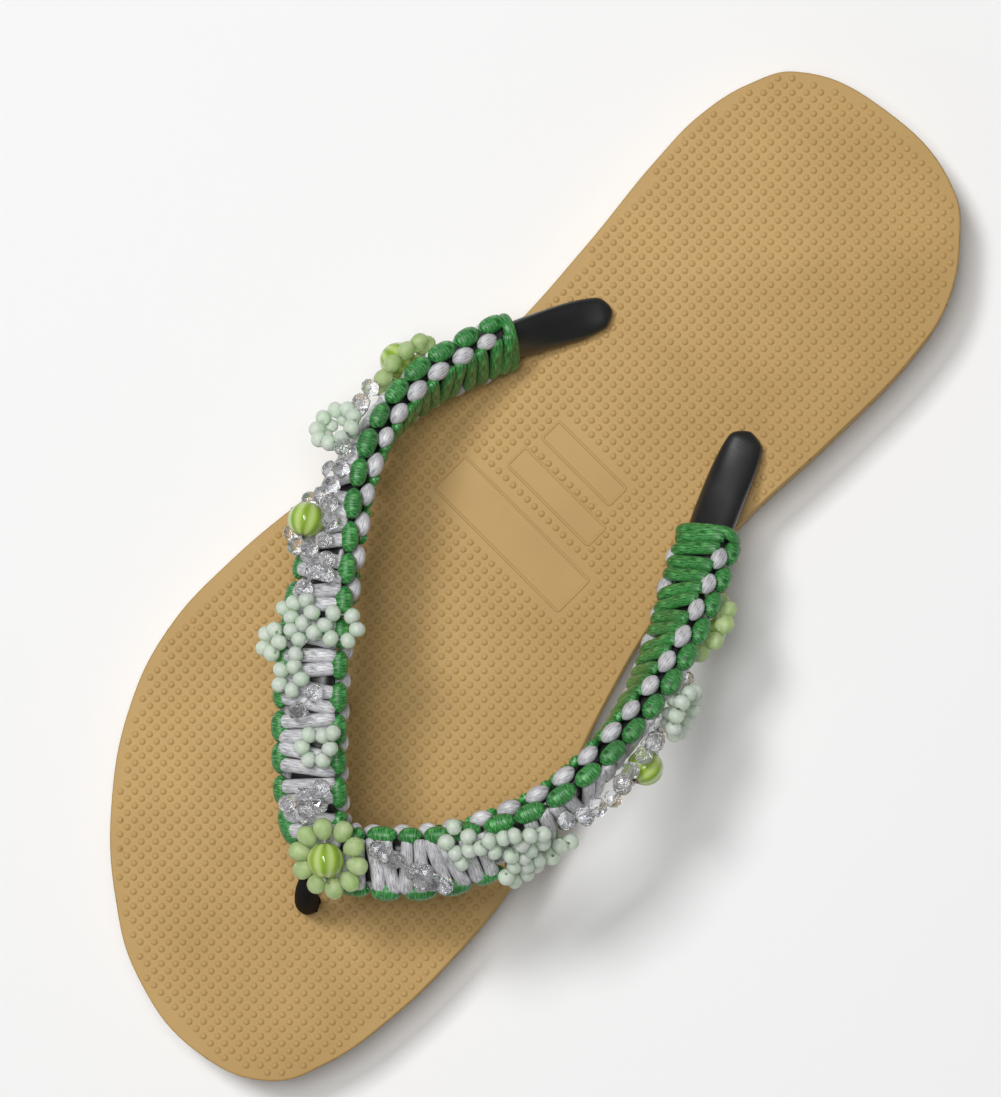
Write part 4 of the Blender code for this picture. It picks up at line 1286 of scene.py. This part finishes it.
def make_small_beads(taken, threads):
    """Beads placed by pixel on the sleeve, where no other bead is in the way."""
    chance = random.Random(23)
    shapes = {"crystals": Shape(), "mint": Shape()}
    grids = {kind: sleeve_grid(DIAMETERS[kind] / 2 + GRID_LIFT) for kind in shapes}
    last = None
    for row in SMALL_BEADS:
        point, across, out = nearest_place(grids[row.kind], row.px, row.py)
        centre = point + out * row.rise * MM
        radius = DIAMETERS[row.kind] / 2 * chance.uniform(*SMALL_SIZES)
        room = min((centre - other).length - size - radius for other, size in taken)
        if room < -OVERLAP_LIMIT[row.kind] * radius:
            continue
        taken.append((centre, radius))
        axis = across * chance.uniform(-1, 1) + out.cross(across) * chance.uniform(0.4, 1) + out * 0.2
        if row.kind == "crystals":
            cut_bead(shapes["crystals"], centre, axis, radius * CRYSTAL_SWELL, chance.random())
        else:
            round_bead(shapes["mint"], centre, axis, radius * MINT_SWELL)
        if last and last[0] == row.kind and (last[1] - centre).length < THREAD_REACH * DIAMETERS[row.kind]:
            thread(threads, [last[1], (last[1] + centre) / 2 + out * THREAD_BOW, centre], False)
        last = (row.kind, centre)
    place(shapes["crystals"].made("beads_small_crystals", CRYSTAL, smooth=False), "glass_clear")
    place(shapes["mint"].made("beads_small_mint", MINT), "glass_mint")


def inner_loop(shape, centres, out, taken):
    """Second, smaller row of seed beads inside a loop that stands off the sleeve."""
    middle = sum(centres, Vector()) / len(centres)
    normal = (centres[0] - middle).cross(centres[2] - middle).normalized()
    if normal.dot(out) > 0:
        normal = -normal
    count = len(centres) - 2
    _, side, over = axes_for(normal)
    reach = (centres[0] - middle).length * INNER_LOOP_SHARE
    radius = DIAMETERS["mint"] / 2
    for angle in turns(count, 0.5):
        spoke = side * math.cos(angle) + over * math.sin(angle)
        centre = middle + normal * INNER_LOOP_DEPTH + spoke * reach
        if min((centre - other).length - size for other, size in taken) > radius * INNER_LOOP_ROOM:
            taken.append((centre, radius))
            round_bead(shape, centre, side * math.sin(angle) - over * math.cos(angle), radius)


def make_large_beads(taken, threads):
    """Striped beads, with a short thread out of each end of those whose ends show."""
    photo_down = Vector((-math.sin(VIEW_TURN), math.cos(VIEW_TURN), 0))
    radius = LARGE_BEAD_DIAMETER / 2 * LARGE_BEAD_SWELL
    for row in LARGE_BEADS:
        distance, point, across, out = face_place(row)
        centre = settle(distance, point, LARGE_BEAD_DIAMETER / 2 + GAP)
        along = out.cross(across)
        axis = {"photo": photo_down, "along": along, "out": out + along * 0.15}[row.axis].normalized()
        shape = Shape()
        melon_bead(shape, centre, axis, radius)
        place(shape.made("striped_" + row.name, STRIPED), "glass_green", row.name)
        taken.append((centre, radius))
        if row.axis == "out":
            continue
        up = (out - axis * out.dot(axis)).normalized()
        for side in (-1, 1):
            arc = [centre + axis * side * radius * h + up * radius * r for h, r in THREAD_ARC]
            thread(threads, arc, False, THREAD_ARC_RADIUS)


def make_bead_groups(taken, threads):
    """Rings of petals, mint beads and crystals, and strings of crystals."""
    chance = random.Random(11)
    groups = [(row, ring_centres(row), True) for row in RINGS]
    groups += [(row, string_centres(row), False) for row in STRINGS]
    for row, centres, ring in groups:
        shape = Shape()
        middle = sum(centres, Vector()) / len(centres)
        for centre, axis in zip(centres, directions(centres, ring)):
            wobble = Vector([chance.uniform(-WOBBLE, WOBBLE) for _ in range(3)])
            size = DIAMETERS[row.kind] / 2 * chance.uniform(*GROUP_SIZES)
            taken.append((centre, size))
            if row.kind == "crystals":
                cut_bead(shape, centre, axis + wobble * 1.5, size * CRYSTAL_SWELL, chance.random())
            elif row.kind == "petals":
                radial = (centre - middle + wobble * MM).normalized()
                petal_bead(shape, centre, radial, radial.cross(axis).normalized(), size)
            else:
                round_bead(shape, centre, axis + wobble, size * MINT_SWELL)
        thread(threads, centres, ring)
        if ring and row.lean:
            inner_loop(shape, centres, face_place(row)[3], taken)
        material, slot = BEAD_LOOKS[row.kind]
        place(shape.made("beads_" + row.name, material, smooth=row.kind != "crystals"), slot, row.name)


def make_beads():
    threads = Shape()
    taken = []
    make_large_beads(taken, threads)
    make_bead_groups(taken, threads)
    make_small_beads(taken, threads)
    place(threads.made("bead_threads", THREAD), "glass_clear")


# Floor, lights and camera

def make_stage():
    bm = bmesh.new()
    bmesh.ops.create_grid(bm, x_segments=1, y_segments=1, size=FLOOR_HALF_SIZE)
    floor = temporary("floor", bm)
    floor.location.z = FLOOR_HEIGHT
    paper = Look("paper", Roughness=0.9, Specular_IOR_Level=0.1, Base_Color=(0.90, 0.90, 0.90, 1))
    floor.data.materials.append(paper.material)


def make_lights():
    world = bpy.data.worlds.new("studio")
    bpy.context.scene.world = world
    world.use_nodes = True
    sky = world.node_tree.nodes["Background"]
    sky.inputs["Color"].default_value = (1.0, 1.0, 1.0, 1)
    sky.inputs["Strength"].default_value = SKY_STRENGTH
    bpy.context.scene.view_settings.view_transform = "Standard"
    for row in LAMPS:
        data = bpy.data.lights.new(row.name, "AREA")
        data.energy = row.power
        data.size = row.size
        lamp = linked(row.name, data)
        lamp.location = Vector(row.towards).normalized() * row.distance
        lamp.rotation_mode = "QUATERNION"
        lamp.rotation_quaternion = (-Vector(row.towards)).to_track_quat("-Z", "Y")


def make_camera():
    data = bpy.data.cameras.new("view")
    data.sensor_width = SENSOR
    data.lens = LENS
    data.clip_start = 0.05
    data.clip_end = 20.0
    camera = linked("view", data)
    eye = SOLE_ORIGIN + Vector(CAMERA_FROM_HEEL)
    back = (eye - Vector(AIM)).normalized()
    right = Vector((-math.cos(VIEW_TURN), -math.sin(VIEW_TURN), 0))
    right = (right - back * right.dot(back)).normalized()
    turn = Matrix((right, back.cross(right), back)).transposed()
    camera.matrix_world = Matrix.Translation(eye) @ turn.to_4x4()
    bpy.context.scene.camera = camera


make_sole()
make_pips()
make_panel_rims()
make_thong()
make_knots()
make_beads()
make_stage()
make_lights()
make_camera()
